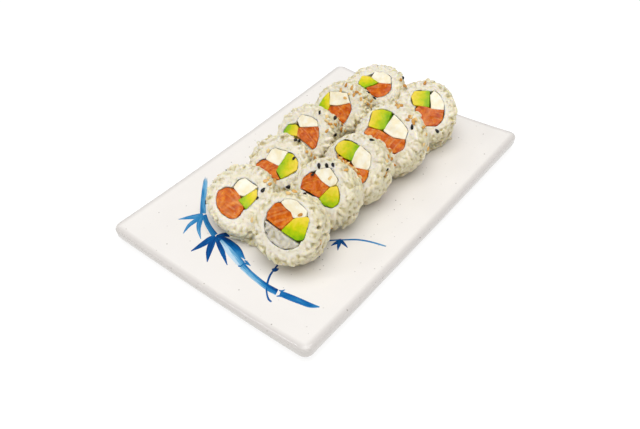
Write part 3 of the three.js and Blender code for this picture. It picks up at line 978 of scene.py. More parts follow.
outlines = {}
for roll in rolls:
    for kind, pixels in seen_fillings[roll.name].items():
        outlines[roll.name, kind] = softened(seen_outline(roll, pixels), CORNER_SOFTNESS)
    held = [outlines[roll.name, kind] for kind in seen_fillings[roll.name]]
    if roll.inner_rice:
        solid_outline = roll.nori_outline(NORI_THICKNESS, OUTLINE_STEPS)
        outlines[roll.name, "rice"] = cut_below(solid_outline, roll.inner_rice)
        held.append(outlines[roll.name, "rice"])
    roll.drawn_in = reach_round(roll, held, NORI_WINDOW) + NORI_THICKNESS * 0.4
    roll.held_in = reach_round(roll, held, HELD_WINDOW) + 0.1
drawn_in_by = {roll.name: round(roll.nori_radius - roll.drawn_in.mean(), 1) for roll in rolls}
print("nori drawn in by", drawn_in_by, "mm")

# %% [markdown]
# Sushi rice is short and sticky. A cooked grain is about 6.5 mm long and 3 mm thick, slightly
# bent, and lies pressed against its neighbours. Particles or instances would be lost when the
# model is exported, so every grain is real mesh: one grain's points, turned and moved by arrays.

# %% One grain, and many
GRAIN_LENGTH = 6.4
GRAIN_WIDTH = 2.7
GRAIN_AROUND = 8
GRAIN_ALONG = 7
GRAIN_BLUNTNESS = 2.6
GRAIN_BEND = 0.35
GRAIN_FLATNESS = 0.9


def grain_mesh():
    """A blunt, slightly bent grain along X, about its middle."""
    rings = []
    for step in range(1, GRAIN_ALONG + 1):
        along = -math.cos(math.pi * step / (GRAIN_ALONG + 1))
        reach = (1 - abs(along) ** GRAIN_BLUNTNESS) ** 0.5
        around = turns_in(GRAIN_AROUND)
        rings.append(np.column_stack([
            np.full(GRAIN_AROUND, along * GRAIN_LENGTH / 2),
            reach * GRAIN_WIDTH / 2 * np.cos(around) + GRAIN_BEND * (along ** 2 - 0.5),
            reach * GRAIN_WIDTH / 2 * GRAIN_FLATNESS * np.sin(around)]))
    ends = [[-GRAIN_LENGTH / 2, 0.17, 0], [GRAIN_LENGTH / 2, 0.17, 0]]
    return skin(rings, ends)


def laid_on(random, centres, normals, tilt):
    """A turn for each centre: X lies along the surface at any angle, give or take a tilt."""
    count = len(centres)
    helper = np.where(np.abs(normals[:, 2:]) < 0.9, [[0, 0, 1]], [[1, 0, 0]])
    side = unit(np.cross(normals, helper))
    up = np.cross(normals, side)
    angle = random.uniform(0, 2 * math.pi, (count, 1))
    raised = normals * random.uniform(-tilt, tilt, (count, 1))
    along = unit(np.cos(angle) * side + np.sin(angle) * up + raised)
    across = unit(np.cross(normals, along))
    return np.stack([along, across, np.cross(along, across)], axis=2)


def copies(shape, centres, turns, sizes):
    """One mesh of many copies of a shape, each turned, sized and moved."""
    points, faces = shape
    placed = np.einsum("nij,nkj->nki", turns, points[None] * sizes[:, None]) + centres[:, None]
    joined_faces = []
    for number in range(len(centres)):
        start = number * len(points)
        joined_faces += [[start + corner for corner in face] for face in faces]
    return placed.reshape(-1, 3), joined_faces


grain = grain_mesh()
print("a grain:", len(grain[0]), "points", len(grain[1]), "faces")

# %% [markdown]
# The rice of a roll is a core, which is a ring with rounded edges, under two layers of grains. The
# grains could be strewn at random, but then they heap up here and leave gaps there. Here they are
# dealt out one by one, and one that would lie across another is left out, so they cover evenly
# without a pattern, and the lower layer fills what is left open.

# %% Dealing out grains
SIDE_BY_SIDE = 2.2
END_TO_END = 4.6
ONE_ON_ONE = 3.0
GRAIN_TILT = 0.22


def dealt(random, candidates, ways):
    """Deals out grains that hardly overlap: which candidates they take, and how each is turned."""
    turns = laid_on(random, candidates, ways, GRAIN_TILT)
    room = np.array([END_TO_END, SIDE_BY_SIDE, ONE_ON_ONE])
    kept = []
    for number in random.permutation(len(candidates)):
        offsets = candidates[number] - candidates[kept]
        seen_from_them = np.einsum("ni,nij->nj", offsets, turns[kept]) / room
        seen_from_it = offsets @ turns[number] / room
        nearest = np.minimum(np.sum(seen_from_them ** 2, axis=1), np.sum(seen_from_it ** 2, axis=1))
        if not kept or nearest.min() > 1:
            kept.append(number)
    return kept, turns[kept]


print("room for a grain:", END_TO_END, "by", SIDE_BY_SIDE, "mm")

# %% [markdown]
# Grains lie all over a roll, on both cut faces, the rounded edges and the side. The knife
# flattened those of the faces, and the mat those of the side a little, so what stands out of the
# roll's rounded form is pressed back.

# %% Where the grains of a roll lie
FACE_FREEDOM = 0.06
SIDE_FREEDOM = 0.85
NORI_MARGIN = 0.5
SMEARED_DEPTH = 1.1
NORI_CLEARANCE = 0.12
LEFT_STANDING = 0.05


def rice_surface(roll, random, density):
    """Points all over the roll's rice, with the way out at each: both faces, both edges, the side."""
    round_, length = roll.edge, roll.length
    flat_radius = roll.radius - round_
    disc = int(density * math.pi * (flat_radius + 1) ** 2)
    side = int(density * 2 * math.pi * roll.radius * (length - 2 * round_))
    bend = int(density * 2 * math.pi * roll.radius * math.pi / 2 * round_)
    places, ways = [], []
    for facing, depth in ((1, 0.0), (-1, -length)):
        spots = random.uniform(-1, 1, (disc, 2)) * (flat_radius + 2.5)
        spots = at_depth(spots, depth)
        angles = np.arctan2(spots[:, 1], spots[:, 0])
        fits = np.linalg.norm(spots[:, :2], axis=1) < roll.rice_reach(angles) - round_
        spots = spots[fits & (roll.outside_fillings(spots) > NORI_MARGIN)]
        places.append(spots)
        ways.append(np.tile([0, 0, facing], (len(spots), 1)))
        angles, bow = random.uniform(0, 2 * math.pi, bend), random.uniform(0, math.pi / 2, bend)
        out = np.column_stack([circle(angles) * np.sin(bow)[:, None], facing * np.cos(bow)])
        ring = (roll.rice_reach(angles) - round_)[:, None] * circle(angles)
        middle = at_depth(ring, depth - facing * round_)
        places.append(middle + round_ * out)
        ways.append(out)
    angles, depths = random.uniform(0, 2 * math.pi, side), random.uniform(round_ - length, -round_, side)
    places.append(np.column_stack([circle(angles) * roll.rice_reach(angles)[:, None], depths]))
    ways.append(np.column_stack([circle(angles), 0 * angles]))
    return np.vstack(places), np.vstack(ways)


def pressed_in(roll, points, freedom):
    """Presses back what stands out of the rice's rounded form, or into the nori. Only at the very
    face may rice lie over the nori's edge."""
    distance, way = roll.outside_rice(points)
    points = points - way * (np.maximum(distance - LEFT_STANDING, 0) * (1 - freedom))[:, None]
    offset = points[:, :2] - roll.nori_middle
    at_face = roll.length / 2 - np.abs(points[:, 2] + roll.length / 2) < SMEARED_DEPTH
    room = np.where(at_face, roll.outside_fillings(points), roll.outside_nori(points) - NORI_CLEARANCE)
    inward = np.minimum(room, 0)
    points[:, :2] -= offset / np.linalg.norm(offset, axis=1, keepdims=True) * inward[:, None]
    return points


candidates, _ = rice_surface(rolls[0], np.random.default_rng(0), 1.0)
print("places to choose from on", rolls[0].name, ":", len(candidates))

# %% [markdown]
# Core and grains overlap, and a fine voxel remesh fuses them where they touch, as starch does, so
# that light can scatter through one closed skin. How deep each point lies between the grains is
# kept on the skin, and its material paints shade there. At both faces the core has a thin lip that
# closes over the nori's edge, because the knife smeared rice across it.

# %% The core and the skin
SIDE_CORE_SUNK = 1.8
FACE_CORE_SUNK = 0.26
LIP_RAISED = 0.14
LIP_DEPTH = 0.9
CORE_STEPS = 64
HOLE_MARGIN = 0.3
VOXEL = 0.49
SOFTENING = 0.2
HOLLOW_PASSES = 15


def rice_core(roll):
    """The ring under the grains, with rounded edges, a hole for the nori, and the lips."""
    angles = turns_in(CORE_STEPS)
    out = circle(angles)
    hole = roll.nori_outline(-HOLE_MARGIN, CORE_STEPS)
    lip = roll.ring_round(roll.held_in, CORE_STEPS)
    hole_reach = np.linalg.norm(hole, axis=1, keepdims=True)
    reach = roll.rice_reach(angles)[:, None] - SIDE_CORE_SUNK
    front, back = -FACE_CORE_SUNK, FACE_CORE_SUNK - roll.length
    bends = [(roll.edge, 0), (roll.edge * 0.3, roll.edge * 0.3), (0, roll.edge)]
    rims = [(out * np.maximum(reach - inset, (reach + hole_reach) / 2), step) for inset, step in bends]
    levels = [(hole, front - LIP_DEPTH), (lip, front + LIP_RAISED)]
    levels += [(rim, front - step) for rim, step in rims]
    levels += [(rim, back + step) for rim, step in rims[::-1]]
    levels += [(lip, back - LIP_RAISED), (hole, back + LIP_DEPTH)]
    return skin([at_depth(ring, level) for ring, level in levels])


def fused(piece):
    """Remeshes a piece's overlapping parts into one skin, and softens it a little."""
    remesh = piece.modifiers.new("fuse", "REMESH")
    remesh.mode = "VOXEL"
    remesh.voxel_size = VOXEL * MILLIMETRE
    soften = piece.modifiers.new("soften", "SMOOTH")
    soften.factor = SOFTENING
    soften.iterations = 1
    bpy.context.view_layer.update()
    graph = bpy.context.evaluated_depsgraph_get()
    final = bpy.data.meshes.new_from_object(piece.evaluated_get(graph))
    piece.modifiers.clear()
    piece.data = final
    piece.data.shade_smooth()
    return piece


def joined(*meshes):
    """Several (points, faces) as one."""
    all_points, all_faces, start = [], [], 0
    for points, faces in meshes:
        all_points.append(points)
        all_faces += [[start + corner for corner in face] for face in faces]
        start += len(points)
    return np.vstack(all_points), all_faces


def hollows(piece, height):
    """How far below its neighbourhood each point lies, in the units of the height."""
    edges = np.empty(2 * len(piece.data.edges), dtype=np.int32)
    piece.data.edges.foreach_get("vertices", edges)
    one, other = edges.reshape(-1, 2).T
    count = len(height)
    neighbours = np.bincount(one, minlength=count) + np.bincount(other, minlength=count)
    level = height
    for _ in range(HOLLOW_PASSES):
        total = np.bincount(one, level[other], count) + np.bincount(other, level[one], count)
        level = total / np.maximum(neighbours, 1)
    return level - height


print("core:", len(rice_core(rolls[0])[0]), "points")

# %% [markdown]
# Now the rice of each roll can be made: the core, the lower layer, and the top layer, in which a
# few grains of the side stand up loose.

# %% Rice
TOP_LAYER = 1.0
TOP_DENSITY = 1.0
LOWER_LAYER = 2.0
LOWER_DENSITY = 0.5
LOOSE_SHARE = 0.15
LOOSE_RISE = 0.9
SIDE_UNEVENNESS = 0.35
GRAIN_SIZES = (0.85, 1.12)
ROLL_APART = 50.0


def make_rice(roll, seed):
    random = np.random.default_rng(seed)
    meshes = [rice_core(roll)]
    for layer, density in ((LOWER_LAYER, LOWER_DENSITY), (TOP_LAYER, TOP_DENSITY)):
        candidates, ways = rice_surface(roll, random, density)
        picked, turns = dealt(random, candidates, ways)
        centres, ways = candidates[picked], ways[picked]
        on_side = np.abs(ways[:, 2]) < 0.7
        loose = on_side & (random.random(len(centres)) < LOOSE_SHARE) & (layer == TOP_LAYER)
        uneven = random.uniform(-SIDE_UNEVENNESS, SIDE_UNEVENNESS, len(centres))
        depth = layer + np.where(on_side, uneven, 0) - LOOSE_RISE * loose
        sizes = random.uniform(*GRAIN_SIZES, (len(centres), 3))
        points, faces = copies(grain, centres - ways * depth[:, None], turns, sizes)
        freedom = np.where(loose, 1.0, np.where(on_side, SIDE_FREEDOM, FACE_FREEDOM))
        meshes.append((pressed_in(roll, points, np.repeat(freedom, len(grain[0]))), faces))
    points, faces = joined(*meshes)
    piece = fused(make_piece(f"{roll.name}_grains", roll.carried(points), faces))
    own = roll.own(points_of(piece))
    distance, _ = roll.outside_rice(own)
    store(piece, "place", own + ROLL_APART * seed)
    store(piece, "hollow", hollows(piece, distance))
    face_reach = roll.rice_reach(np.arctan2(own[:, 1], own[:, 0])) - roll.edge
    store(piece, "on_side", np.clip((np.linalg.norm(own[:, :2], axis=1) - face_reach) / roll.edge, 0, 1))
    return piece


rice = {roll.name: make_rice(roll, 11 + number) for number, roll in enumerate(rolls)}
print("rice faces:", {name: len(piece.data.polygons) for name, piece in rice.items()})

# %% [markdown]
# Cooked rice is translucent: light that enters a grain comes out warmer a little further on, and
# that softens the shadows between grains. The surface is moist, so it has a broad sheen. Between
# the grains the colour is painted deeper and yellower, as painted shade in the hollows, and the
# side is painted warmer and a little darker than the cut faces, as painted shade. Rice that was
# folded in with the fillings gets a darker copy of this material, as painted shade for lying in
# their shadow.

# %% The rice's surface
RICE_TONES_AND_CREVICE_SHADE = [
    (0.0, (240, 234, 221)), (0.35, (232, 225, 205)), (0.65, (212, 200, 158)), (0.95, (172, 156, 96))]
SIDE_SHADE_TINT = (247, 245, 228)
FOLDED_IN_SHADE_BRIGHTNESS = 0.88


def rice_material(name, brightness):
    shader = Shader(name)
    place = shader.place()
    clouds = shader.noise(place, 4, 3)
    fine = shader.noise(place, 1.3, 3)
    pits = fine.between(0.58, 0.7)
    uneven = (clouds - 0.5) * 1.3 + pits * 0.22
    # Painted shade: the deeper a point lies between the grains, the darker and yellower its colour;
    # noise adds random tone.
    crevice_shade_and_tone = shader.stored("hollow") * 0.65 + 0.3 + uneven
    stops = []
    for stop, tone in RICE_TONES_AND_CREVICE_SHADE:
        stops.append((stop, colour(*[level * brightness for level in tone])))
    # Painted shade: the side is multiplied by a warm, slightly darker tint.
    base = shader.multiplied(shader.stored("on_side"), crevice_shade_and_tone.ramp(*stops), colour(*SIDE_SHADE_TINT))
    bump = shader.bump(1 - pits + clouds, 0.3)
    return shader.surface(
        Base_Color=base, Roughness=0.38, Normal=bump, Subsurface_Weight=0.7,
        Subsurface_Radius=(1.0, 0.85, 0.45), Subsurface_Scale=1.5 * MILLIMETRE)


cooked = rice_material("cooked_rice", 1.0)
# A darker copy of the rice, as painted shade for rice lying in the fillings' shadow.
shaded = rice_material("folded_in_rice", FOLDED_IN_SHADE_BRIGHTNESS)
for piece in rice.values():
    piece.data.materials.append(cooked)
print("rice material on", len(rice), "rolls")

# %% [markdown]
# Where the rolls were set down, rice was pushed out on to the plate. These grains lie where the
# photograph shows them: each is a pixel and the grain's height above the plate.

# %% Rice round the rolls' feet
OUT_AND_UP = [0.3, -0.5, 0.8]
LOOSE_TILT = 0.4
LOOSE_SIZES = (0.9, 1.15)
pushed_out = [
    (225, 226.5, 1.3), (230, 229.5, 1.3), (235, 233, 1.3), (240, 236, 1.3), (245, 239, 1.3),
    (250, 241.5, 1.3), (255, 244, 1.3), (260, 246.5, 1.3), (265, 249, 1.3), (270, 251.5, 1.3),
    (275, 254, 1.3), (228, 228, 3.2), (233, 231, 3.2), (238, 234, 3.2), (243, 237, 3.2),
    (248, 239.5, 3.2), (253, 242, 3.2), (258, 244.5, 3.2), (263, 247, 3.2), (240, 230, 5),
    (245, 233, 5), (250, 236, 5), (255, 238.5, 5), (259, 241, 5), (247, 229, 7), (252, 232, 7),
    (256, 235, 7), (250, 225, 9), (254, 228, 9), (257, 231, 9), (396, 175.5, 1.3), (401, 173, 1.3),
    (406, 170, 1.3), (411, 167, 1.3), (399, 171, 3.2), (405, 167, 3.2), (429, 150, 1.3),
    (434, 148, 1.3), (439, 145, 1.3), (443, 142, 1.3), (447, 138, 1.3), (432, 146, 3.2),
    (438, 142, 3.2), (443, 138, 3.2), (298, 260.5, 1.6)]


def above_plate(pixel, height):
    """Where the camera's ray through a pixel is at a height above the plate."""
    spot = on_plate(pixel)
    direction = ray_through(pixel)
    return spot - direction * height / -direction[2]


def make_pushed_out(seed):
    random = np.random.default_rng(seed)
    centres = np.array([above_plate((right, down), height) for right, down, height in pushed_out])
    ways = np.tile(OUT_AND_UP, (len(centres), 1))
    turns = laid_on(random, centres, ways / np.linalg.norm(ways[0]), LOOSE_TILT)
    sizes = random.uniform(*LOOSE_SIZES, (len(centres), 3))
    points, faces = copies(grain, centres, turns, sizes)
    points[:, 2] = np.maximum(points[:, 2], TOP_HEIGHT + 0.1)
    piece = fused(make_piece("pushed_out_rice", points, faces))
    store(piece, "place", points_of(piece))
    store(piece, "hollow", hollows(piece, points_of(piece) @ OUT_AND_UP))
    # The pushed-out grains get the side's painted shade all over.
    store(piece, "on_side", np.ones(len(piece.data.vertices)))
    return piece


loose_rice = make_pushed_out(61)
loose_rice.data.materials.append(cooked)
print("pushed out:", len(pushed_out), "grains")

# %% [markdown]
# Nori is a sheet of dried seaweed, almost black. Only its cut edge shows, as a thin dark line
# between the rice and the fillings. It is made as a closed tube of its real thickness that wanders
# a little. Its edge lies deeper here and there, where the rice closes over it, and starch that the
# knife smeared makes it paler in places, so the line is broken as on the real one.

# %% Nori
NORI_STEPS = 90
NORI_DEPTHS = 6
USUAL_SINK = 0.45
LEAST_SINK = 0.05
SINK_SWELL = 9
NORI_WANDER = 0.1
NORI_WANDER_SWELL = 6
WALL_INSET = 0.1


def make_nori(roll, seed):
    angles = turns_in(NORI_STEPS)
    around = np.column_stack([circle(angles), 0 * angles])
    sink = np.maximum(USUAL_SINK + ripple(around * roll.nori_radius, SINK_SWELL, seed), LEAST_SINK)
    rings = []
    levels = np.linspace(0, 1, NORI_DEPTHS)
    walls = [(WALL_INSET, level) for level in levels]
    walls += [(NORI_THICKNESS - WALL_INSET, level) for level in levels[::-1]]
    for inset, level in walls:
        outline = roll.nori_outline(inset, NORI_STEPS)
        depth = -sink * (1 - level) - roll.length * level + sink * level
        points = np.column_stack([outline, depth])
        wander = NORI_WANDER * ripple(points, NORI_WANDER_SWELL, seed + 1)
        points[:, :2] += (outline - roll.nori_middle) / roll.nori_radius * wander[:, None]
        rings.append(points)
    points, faces = skin(rings[::-1])
    piece = make_piece(f"{roll.name}_seaweed", roll.carried(points), faces)
    store(piece, "place", points)
    return piece


def nori_material():
    shader = Shader("nori")
    place = shader.place()
    blotches = shader.noise(place, 1.5, 3)
    sheet = shader.mix(blotches, colour(14, 18, 10), colour(42, 46, 24))
    starch = shader.noise(place, 6, 2).between(0.34, 0.54)
    base = shader.mix(starch * 0.9, sheet, colour(190, 184, 162))
    bump = shader.bump(blotches, 0.15)
    return shader.surface(Base_Color=base, Roughness=0.5, Normal=bump)


seaweed = nori_material()
nori = {roll.name: make_nori(roll, 70 + number) for number, roll in enumerate(rolls)}
for piece in nori.values():
    piece.data.materials.append(seaweed)
print("nori:", len(nori))

# %% [markdown]
# Three strips run through every roll: salmon, cream cheese and avocado. Each is cut with the roll,
# so it ends flush with the rice, but soft things bulge a little and their edges are round. The
# outline of its cut end is swept from face to face, and spreads a little where it doesn't show.

# %% Fillings
FILLING_EDGE = 0.35
HIDDEN_SPREAD = 1.04
RELIEF_SWELL = 7
WANDER = 0.12
WANDER_SWELL = 8
RELIEF_DEPTH = 1.5


def sweep(outline, length, proud, seed, relief):
    """A strip with rounded ends from a closed outline: it runs from the front face to the back."""
    middle = outline.mean(axis=0)
    arms = outline - middle
    reach = np.linalg.norm(arms, axis=1, keepdims=True)
    edge = []
    for bend in np.radians(np.linspace(0, 90, 5)):
        inset = np.minimum(FILLING_EDGE * (1 - math.sin(bend)) / reach, 0.9)
        edge.append((middle + arms * (1 - inset), FILLING_EDGE * (1 - math.cos(bend))))
    sections = [(middle + arms * share, proud) for share in (0.12, 0.3, 0.5, 0.7, 0.85)]
    sections += [(ring, proud - drop) for ring, drop in edge]
    spread_out = middle + arms * HIDDEN_SPREAD
    sections += [(spread_out, -length * share) for share in np.linspace(0.15, 0.85, 6)]
    sections += [(ring, drop - length - proud) for ring, drop in edge[::-1]]
    sections += [(middle + arms * share, -length - proud) for share in (0.7, 0.4, 0.15)]
    rings = [at_depth(ring, depth) for ring, depth in sections]
    ends = np.array([[*middle, proud], [*middle, -length - proud]])
    points, faces = skin(rings, ends)
    at_face = np.abs(points[:, 2] + length / 2) > length / 2 - RELIEF_DEPTH
    points[:, 2] += relief * ripple(points, RELIEF_SWELL, seed) * at_face
    wander = [ripple(points, WANDER_SWELL, seed + number) for number in (1, 2)]
    points[:, :2] += WANDER * np.column_stack(wander)
    return points, faces


proud_of = {"salmon": 0.1, "cheese": 0.25, "avocado": 0.15}
relief_of = {"salmon": 0.22, "cheese": 0.25, "avocado": 0.15}


def make_filling(roll, kind, number):
    outline = outlines[roll.name, kind]
    points, faces = sweep(outline, roll.length, proud_of[kind], number, relief_of[kind])
    piece = make_piece(f"{roll.name}_{kind}_strip", roll.carried(points), faces)
    offsets = points[:, :2] - outline.mean(axis=0)
    angle = math.radians(roll.green_at if kind == "avocado" else roll.grain_at)
    along = offsets @ [math.cos(angle), math.sin(angle)]
    across = offsets @ [-math.sin(angle), math.cos(angle)]
    store(piece, "place", np.column_stack([along, across, points[:, 2]]) + [0, 0, 31.0 * number])
    store(piece, "share", along / np.abs(along).max() / 2 + 0.5)
    return piece


fillings = {}
for number, roll in enumerate(rolls):
    for order, kind in enumerate(("salmon", "cheese", "avocado")):
        fillings[roll.name, kind] = make_filling(roll, kind, 100 + 3 * number + order)
print("fillings:", len(fillings))

# %% [markdown]
# Raw salmon is orange flesh with pale, gently curved lines of fat, and it is moist and slightly
# translucent. Cream cheese is nearly white, dense and soft-edged. Avocado goes from yellow at the
# stone to green under the skin, so its colour follows a share that each strip keeps at its points.

# %% Surfaces of the fillings
def salmon_material():
    shader = Shader("raw_salmon")
    place = shader.place()
    lines = shader.noise(shader.stretched(place, 1.0, 0.25, 0.25), 6, 0)
    veins = 1 - abs(lines - 0.5).between(0.01, 0.06)
    waves = shader.node("ShaderNodeTexWave", {"bands_direction": "X"}, {
        "Vector": place, "Scale": 0.085, "Distortion": 6.0, "Detail": 3.0, "Detail Scale": 0.25})
    shown = shader.noise(place, 7, 1).between(0.42, 0.6)
    fat = veins * 0.4 + waves.between(0.55, 1.0) * shown * 0.6
    clouds = shader.noise(place, 3, 3)
    flesh = clouds.ramp(
        (0.3, colour(180, 70, 0)), (0.5, colour(207, 95, 0)), (0.72, colour(232, 140, 36)))
    base = shader.mix(fat * 0.5, flesh, colour(236, 172, 106))
    bump = shader.bump(fat * 0.5 + clouds, 0.6)
    return shader.surface(
        Base_Color=base, Roughness=0.2, Specular_IOR_Level=0.25, Normal=bump, Subsurface_Weight=0.12,
        Subsurface_Radius=(1.0, 0.3, 0.06), Subsurface_Scale=1.2 * MILLIMETRE)


def cheese_material():
    shader = Shader("cream_cheese")
    place = shader.place()
    clouds = shader.noise(place, 4, 3)
    base = shader.mix(clouds.between(0.3, 0.75), colour(250, 245, 228), colour(242, 229, 190))
    bump = shader.bump(shader.noise(place, 1.8, 3), 0.15)
    return shader.surface(
        Base_Color=base, Roughness=0.42, Normal=bump, Subsurface_Weight=0.2,
        Subsurface_Radius=(1.0, 0.9, 0.7), Subsurface_Scale=0.8 * MILLIMETRE)


def avocado_material():
    shader = Shader("avocado")
    place = shader.place()
    clouds = shader.noise(place, 2.6, 3)
    share = shader.stored("share") + (clouds - 0.5) * 0.65
    base = share.ramp(
        (0.12, colour(242, 216, 70)), (0.42, colour(216, 208, 14)), (0.66, colour(176, 200, 0)),
        (0.95, colour(120, 178, 0)))
    bump = shader.bump(clouds, 0.4)
    return shader.surface(
        Base_Color=base, Roughness=0.3, Specular_IOR_Level=0.2, Normal=bump, Subsurface_Weight=0.12,
        Subsurface_Radius=(0.9, 1.0, 0.3), Subsurface_Scale=0.8 * MILLIMETRE)


finishes = {"salmon": salmon_material(), "cheese": cheese_material(), "avocado": avocado_material()}
for (roll_name, kind), piece in fillings.items():
    piece.data.materials.append(finishes[kind])
print("surfaces:", ", ".join(finishes))

# %% [markdown]
# In the nearest roll on the right a strip of rice was folded inside the nori, below the fillings.
# It is made as the ring was: a core with grains laid on its two cut ends, fused by a remesh.

# %% Rice inside the nori
INNER_SUNK = 0.95
INNER_CORE_SHARE = 0.95
INNER_CORE_SUNK = 0.9
INNER_CANDIDATES = 900
INNER_SIZES = (0.8, 1.05)


def make_inner_rice(roll, seed):
    random = np.random.default_rng(seed)
    outline = softened(outlines[roll.name, "rice"], CORNER_SOFTNESS)
    middle = outline.mean(axis=0)
    core_outline = middle + (outline - middle) * INNER_CORE_SHARE
    core = sweep(core_outline, roll.length, -INNER_CORE_SUNK, seed, 0.2)
    spots = random.uniform(outline.min(axis=0), outline.max(axis=0), (INNER_CANDIDATES, 2))
    arms = outline - middle
    order = np.argsort(np.arctan2(arms[:, 1], arms[:, 0]))
    known_angles = np.arctan2(arms[order, 1], arms[order, 0])
    known_reach = np.linalg.norm(arms[order], axis=1)

    def room(points):
        angles = np.arctan2(points[:, 1] - middle[1], points[:, 0] - middle[0])
        return np.interp(angles, known_angles, known_reach, period=2 * math.pi)

    spots = spots[np.linalg.norm(spots - middle, axis=1) < room(spots) - 0.5]
    meshes = [core]
    for facing, depth in ((1, -INNER_SUNK), (-1, INNER_SUNK - roll.length)):
        candidates = at_depth(spots, depth)
        picked, turns = dealt(random, candidates, np.tile([0.0, 0.0, facing], (len(spots), 1)))
        centres = candidates[picked]
        sizes = random.uniform(*INNER_SIZES, (len(centres), 3))
        points, faces = copies(grain, centres, turns, sizes)
        over = np.linalg.norm(points[:, :2] - middle, axis=1) / room(points)
        points[:, :2] = middle + (points[:, :2] - middle) / np.maximum(over, 1)[:, None]
        meshes.append((points, faces))
    points, faces = joined(*meshes)
    piece = fused(make_piece(f"{roll.name}_inner_grains", roll.carried(points), faces))
    own = roll.own(points_of(piece))
    store(piece, "place", own)
    store(piece, "hollow", hollows(piece, np.abs(own[:, 2] + roll.length / 2)))
    piece.data.materials.append(shaded)
    return piece


inner_rice = {roll.name: make_inner_rice(roll, 41) for roll in rolls if roll.inner_rice}
print("inner rice:", list(inner_rice))

# %% [markdown]
# Sesame seeds are flat drops of about 3 by 2 mm: toasted ones, tan to golden, and a few black ones.
# Those that show in the photograph are put where the camera's ray meets the food, lying flat on
# whatever is there. More are strewn, by a seeded draw, over the sides that the photograph doesn't
# show, because the whole roll was turned in sesame.

# %% Where the seeds lie
food = [*rice.values(), *inner_rice.values(), *fillings.values(), loose_rice]
food_points, food_faces = [], []
start = 0
for piece in food:
    food_points.append(points_of(piece))
    food_faces += [[start + corner for corner in polygon.vertices] for polygon in piece.data.polygons]
    start += len(piece.data.vertices)
food_tree = BVHTree.FromPolygons(np.vstack(food_points).tolist(), food_faces)
STEPS_ROUND_A_SEED = [(0, 0), (-2, 0), (2, 0), (0, -2), (0, 2), (-1, 1), (1, -1), (1, 1), (-1, -1)]

black_seed_pixels = [
    (313, 174), (319, 166), (327, 166), (333, 165), (288, 187), (305, 194), (263, 190), (320, 113),
    (257.5, 198), (335, 118), (335, 135), (296, 140), (299, 141), (294, 158), (372, 140),
    (412, 127), (403, 78), (374, 98), (437, 131)]
tan_seed_pixels = [
    (346, 85), (352, 88), (357, 92), (361, 99.5), (365, 102), (368, 104), (367, 99.5), (371, 101),
    (349, 94), (345, 98), (371, 106), (327, 117), (327, 121), (330, 124), (332, 127), (335, 124.5),
    (338, 122.5), (342, 124), (327, 131), (341, 129), (345, 131), (338, 156), (340.5, 158),
    (342, 161), (345, 162), (347.5, 163.5), (349.5, 166), (346, 170), (353, 167.5), (356, 170.5),
    (397, 104.5), (401, 105.5), (408, 120), (410.5, 117.5), (413, 121), (416, 119.5), (387, 161),
    (390, 150), (388.5, 156.5), (275, 180), (268.5, 178), (294.5, 191.5), (360, 94), (354, 95),
    (341, 90), (266, 181), (270, 184), (274, 182), (288, 193), (306, 152), (311, 155), (315, 158),
    (389, 152), (391, 159), (394, 165), (358, 172), (360, 177), (396, 102), (399, 106), (411, 117),
    (414, 123), (424, 127), (426, 135), (424, 144), (428, 149), (425, 83), (401, 80), (405, 86),
    (330, 178), (268, 151), (300, 215), (252, 220)]


def spots_at(pixels):
    """Where the camera's rays through pixels meet the food, with the way out of it round there."""
    places, ways = [], []
    for right, down in pixels:
        hits = []
        for step in STEPS_ROUND_A_SEED:
            ray = ray_through((right + step[0], down + step[1]))
            hits.append(food_tree.ray_cast(Vector(camera_place), Vector(ray))[:2])
        if hits[0][0]:
            way = sum((hit[1] for hit in hits if hit[0]), Vector())
            places.append(hits[0][0])
            ways.append(way.normalized())
    return np.array(places), np.array(ways)


def strewn(seed, per_roll):
    """Places on the rolls' sides that the camera doesn't see."""
    random = np.random.default_rng(seed)
    places, ways = [], []
    for roll in rolls:
        for _ in range(per_roll):
            angle = random.uniform(0, 2 * math.pi)
            depth = -roll.length * random.uniform(0.25, 0.8)
            out = roll.turn @ [math.cos(angle), math.sin(angle), 0]
            start = roll.place + roll.turn @ [0, 0, depth] + out * (roll.radius + 1.5)
            place, way, _, _ = food_tree.ray_cast(Vector(start), Vector(-out), 4.0)
            if place is not None and np.dot(np.array(way), camera_place - np.array(place)) < 0:
                places.append(place)
                ways.append(way)
    return np.array(places), np.array(ways)


print("food:", len(food_faces), "faces to lay seeds on")

# %% [markdown]
# All seeds of a colour are one mesh of copies of the same flat drop, each turned and sized a
# little differently, and each keeps a number of its own that picks its shade from a ramp.

# %% Seeds
SEED_LENGTH = 3.3
SEED_WIDTH = 2.0
SEED_THICKNESS = 0.95
SEED_AROUND = 10
SEED_ALONG = 8
SEED_NARROWING = 0.28
SEED_RAISED = 0.15
SEED_SIZES = (0.85, 1.1)
SEED_TILT = 0.25


def seed_mesh():
    """A flat drop along X with one narrower end."""
    rings = []
    for step in range(1, SEED_ALONG + 1):
        along = -math.cos(math.pi * step / (SEED_ALONG + 1))
        reach = math.sqrt(1 - along ** 2) * (1 - SEED_NARROWING * along)
        around = turns_in(SEED_AROUND)
        rings.append(np.column_stack([
            np.full(SEED_AROUND, along * SEED_LENGTH / 2), reach * SEED_WIDTH / 2 * np.cos(around),
            reach * SEED_THICKNESS / 2 * np.sin(around)]))
    return skin(rings, [[-SEED_LENGTH / 2, 0, 0], [SEED_LENGTH / 2, 0, 0]])


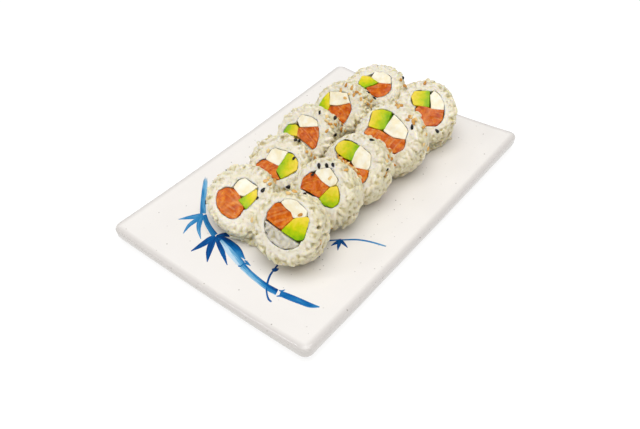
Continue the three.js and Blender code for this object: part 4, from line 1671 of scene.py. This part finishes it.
def make_seeds(name, pixels, hidden_per_roll, seed):
    random = np.random.default_rng(seed)
    shown_places, shown_ways = spots_at(pixels)
    hidden_places, hidden_ways = strewn(seed, hidden_per_roll)
    centres = np.vstack([shown_places, hidden_places])
    ways = np.vstack([shown_ways, hidden_ways])
    turns = laid_on(random, centres, ways, SEED_TILT)
    sizes = random.uniform(*SEED_SIZES, (len(centres), 3))
    shape = seed_mesh()
    points, faces = copies(shape, centres + ways * SEED_RAISED, turns, sizes)
    piece = make_piece(name, points, faces)
    store(piece, "place", points)
    store(piece, "share", np.repeat(random.uniform(0, 1, len(centres)), len(shape[0])))
    print(name, len(shown_places), "shown", len(hidden_places), "hidden")
    return piece


def seed_material(name, *stops):
    shader = Shader(name)
    share = shader.stored("share") + (shader.noise(shader.place(), 1, 2) - 0.5) * 0.4
    return shader.surface(Base_Color=share.ramp(*stops), Roughness=0.45, Specular_IOR_Level=0.25)


tan_seeds = make_seeds("tan_sesame", tan_seed_pixels, 9, 5)
black_seeds = make_seeds("black_sesame", black_seed_pixels, 3, 6)
tan_seeds.data.materials.append(seed_material(
    "toasted_sesame",
    (0.1, colour(196, 136, 58)), (0.5, colour(222, 172, 94)), (0.9, colour(238, 210, 148))))
black_seeds.data.materials.append(seed_material(
    "black_sesame", (0.2, colour(16, 15, 14)), (0.8, colour(40, 36, 32))))

# %% [markdown]
# The floor is plain and nearly white, and it glows a little, so that it shows as bright as paper
# and the plate's shadow on it stays faint. It belongs to the stage and not to the plate.

# %% Floor
FLOOR_SIZE = 6000
FLOOR_GLOW = 0.84
FLOOR_WHITE = 0.22
corners = np.array([[-1, -1, 0], [1, -1, 0], [1, 1, 0], [-1, 1, 0]]) * FLOOR_SIZE / 2
floor = make_piece("floor", corners, [[0, 1, 2, 3]])
floor.data.materials.append(Shader("white_floor").surface(
    Base_Color=(FLOOR_WHITE, FLOOR_WHITE, FLOOR_WHITE, 1), Roughness=0.9,
    Emission_Color=(1, 1, 1, 1), Emission_Strength=FLOOR_GLOW))
print("floor:", FLOOR_SIZE, "mm wide")

# %% [markdown]
# Last, every piece is attached to the root body, and the solids of the model that it stands for
# are hidden. The size of the solid model is printed.

# %% What stands for what
def stand_for(piece, slot, *nodes):
    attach(piece, "root")
    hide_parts(*nodes)


stand_for(plate, "plate", "plate")
for roll in rolls:
    stand_for(rice[roll.name], "rice", f"{roll.name}_rice")
    stand_for(nori[roll.name], "nori", f"{roll.name}_nori")
    for kind in ("salmon", "cheese", "avocado"):
        stand_for(fillings[roll.name, kind], kind, f"{roll.name}_{kind}")
for name, piece in inner_rice.items():
    stand_for(piece, "rice", f"{name}_inner_rice")
for piece in (*brushwork, loose_rice, tan_seeds, black_seeds):
    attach(piece, "root")

print("solid:", cad_box)
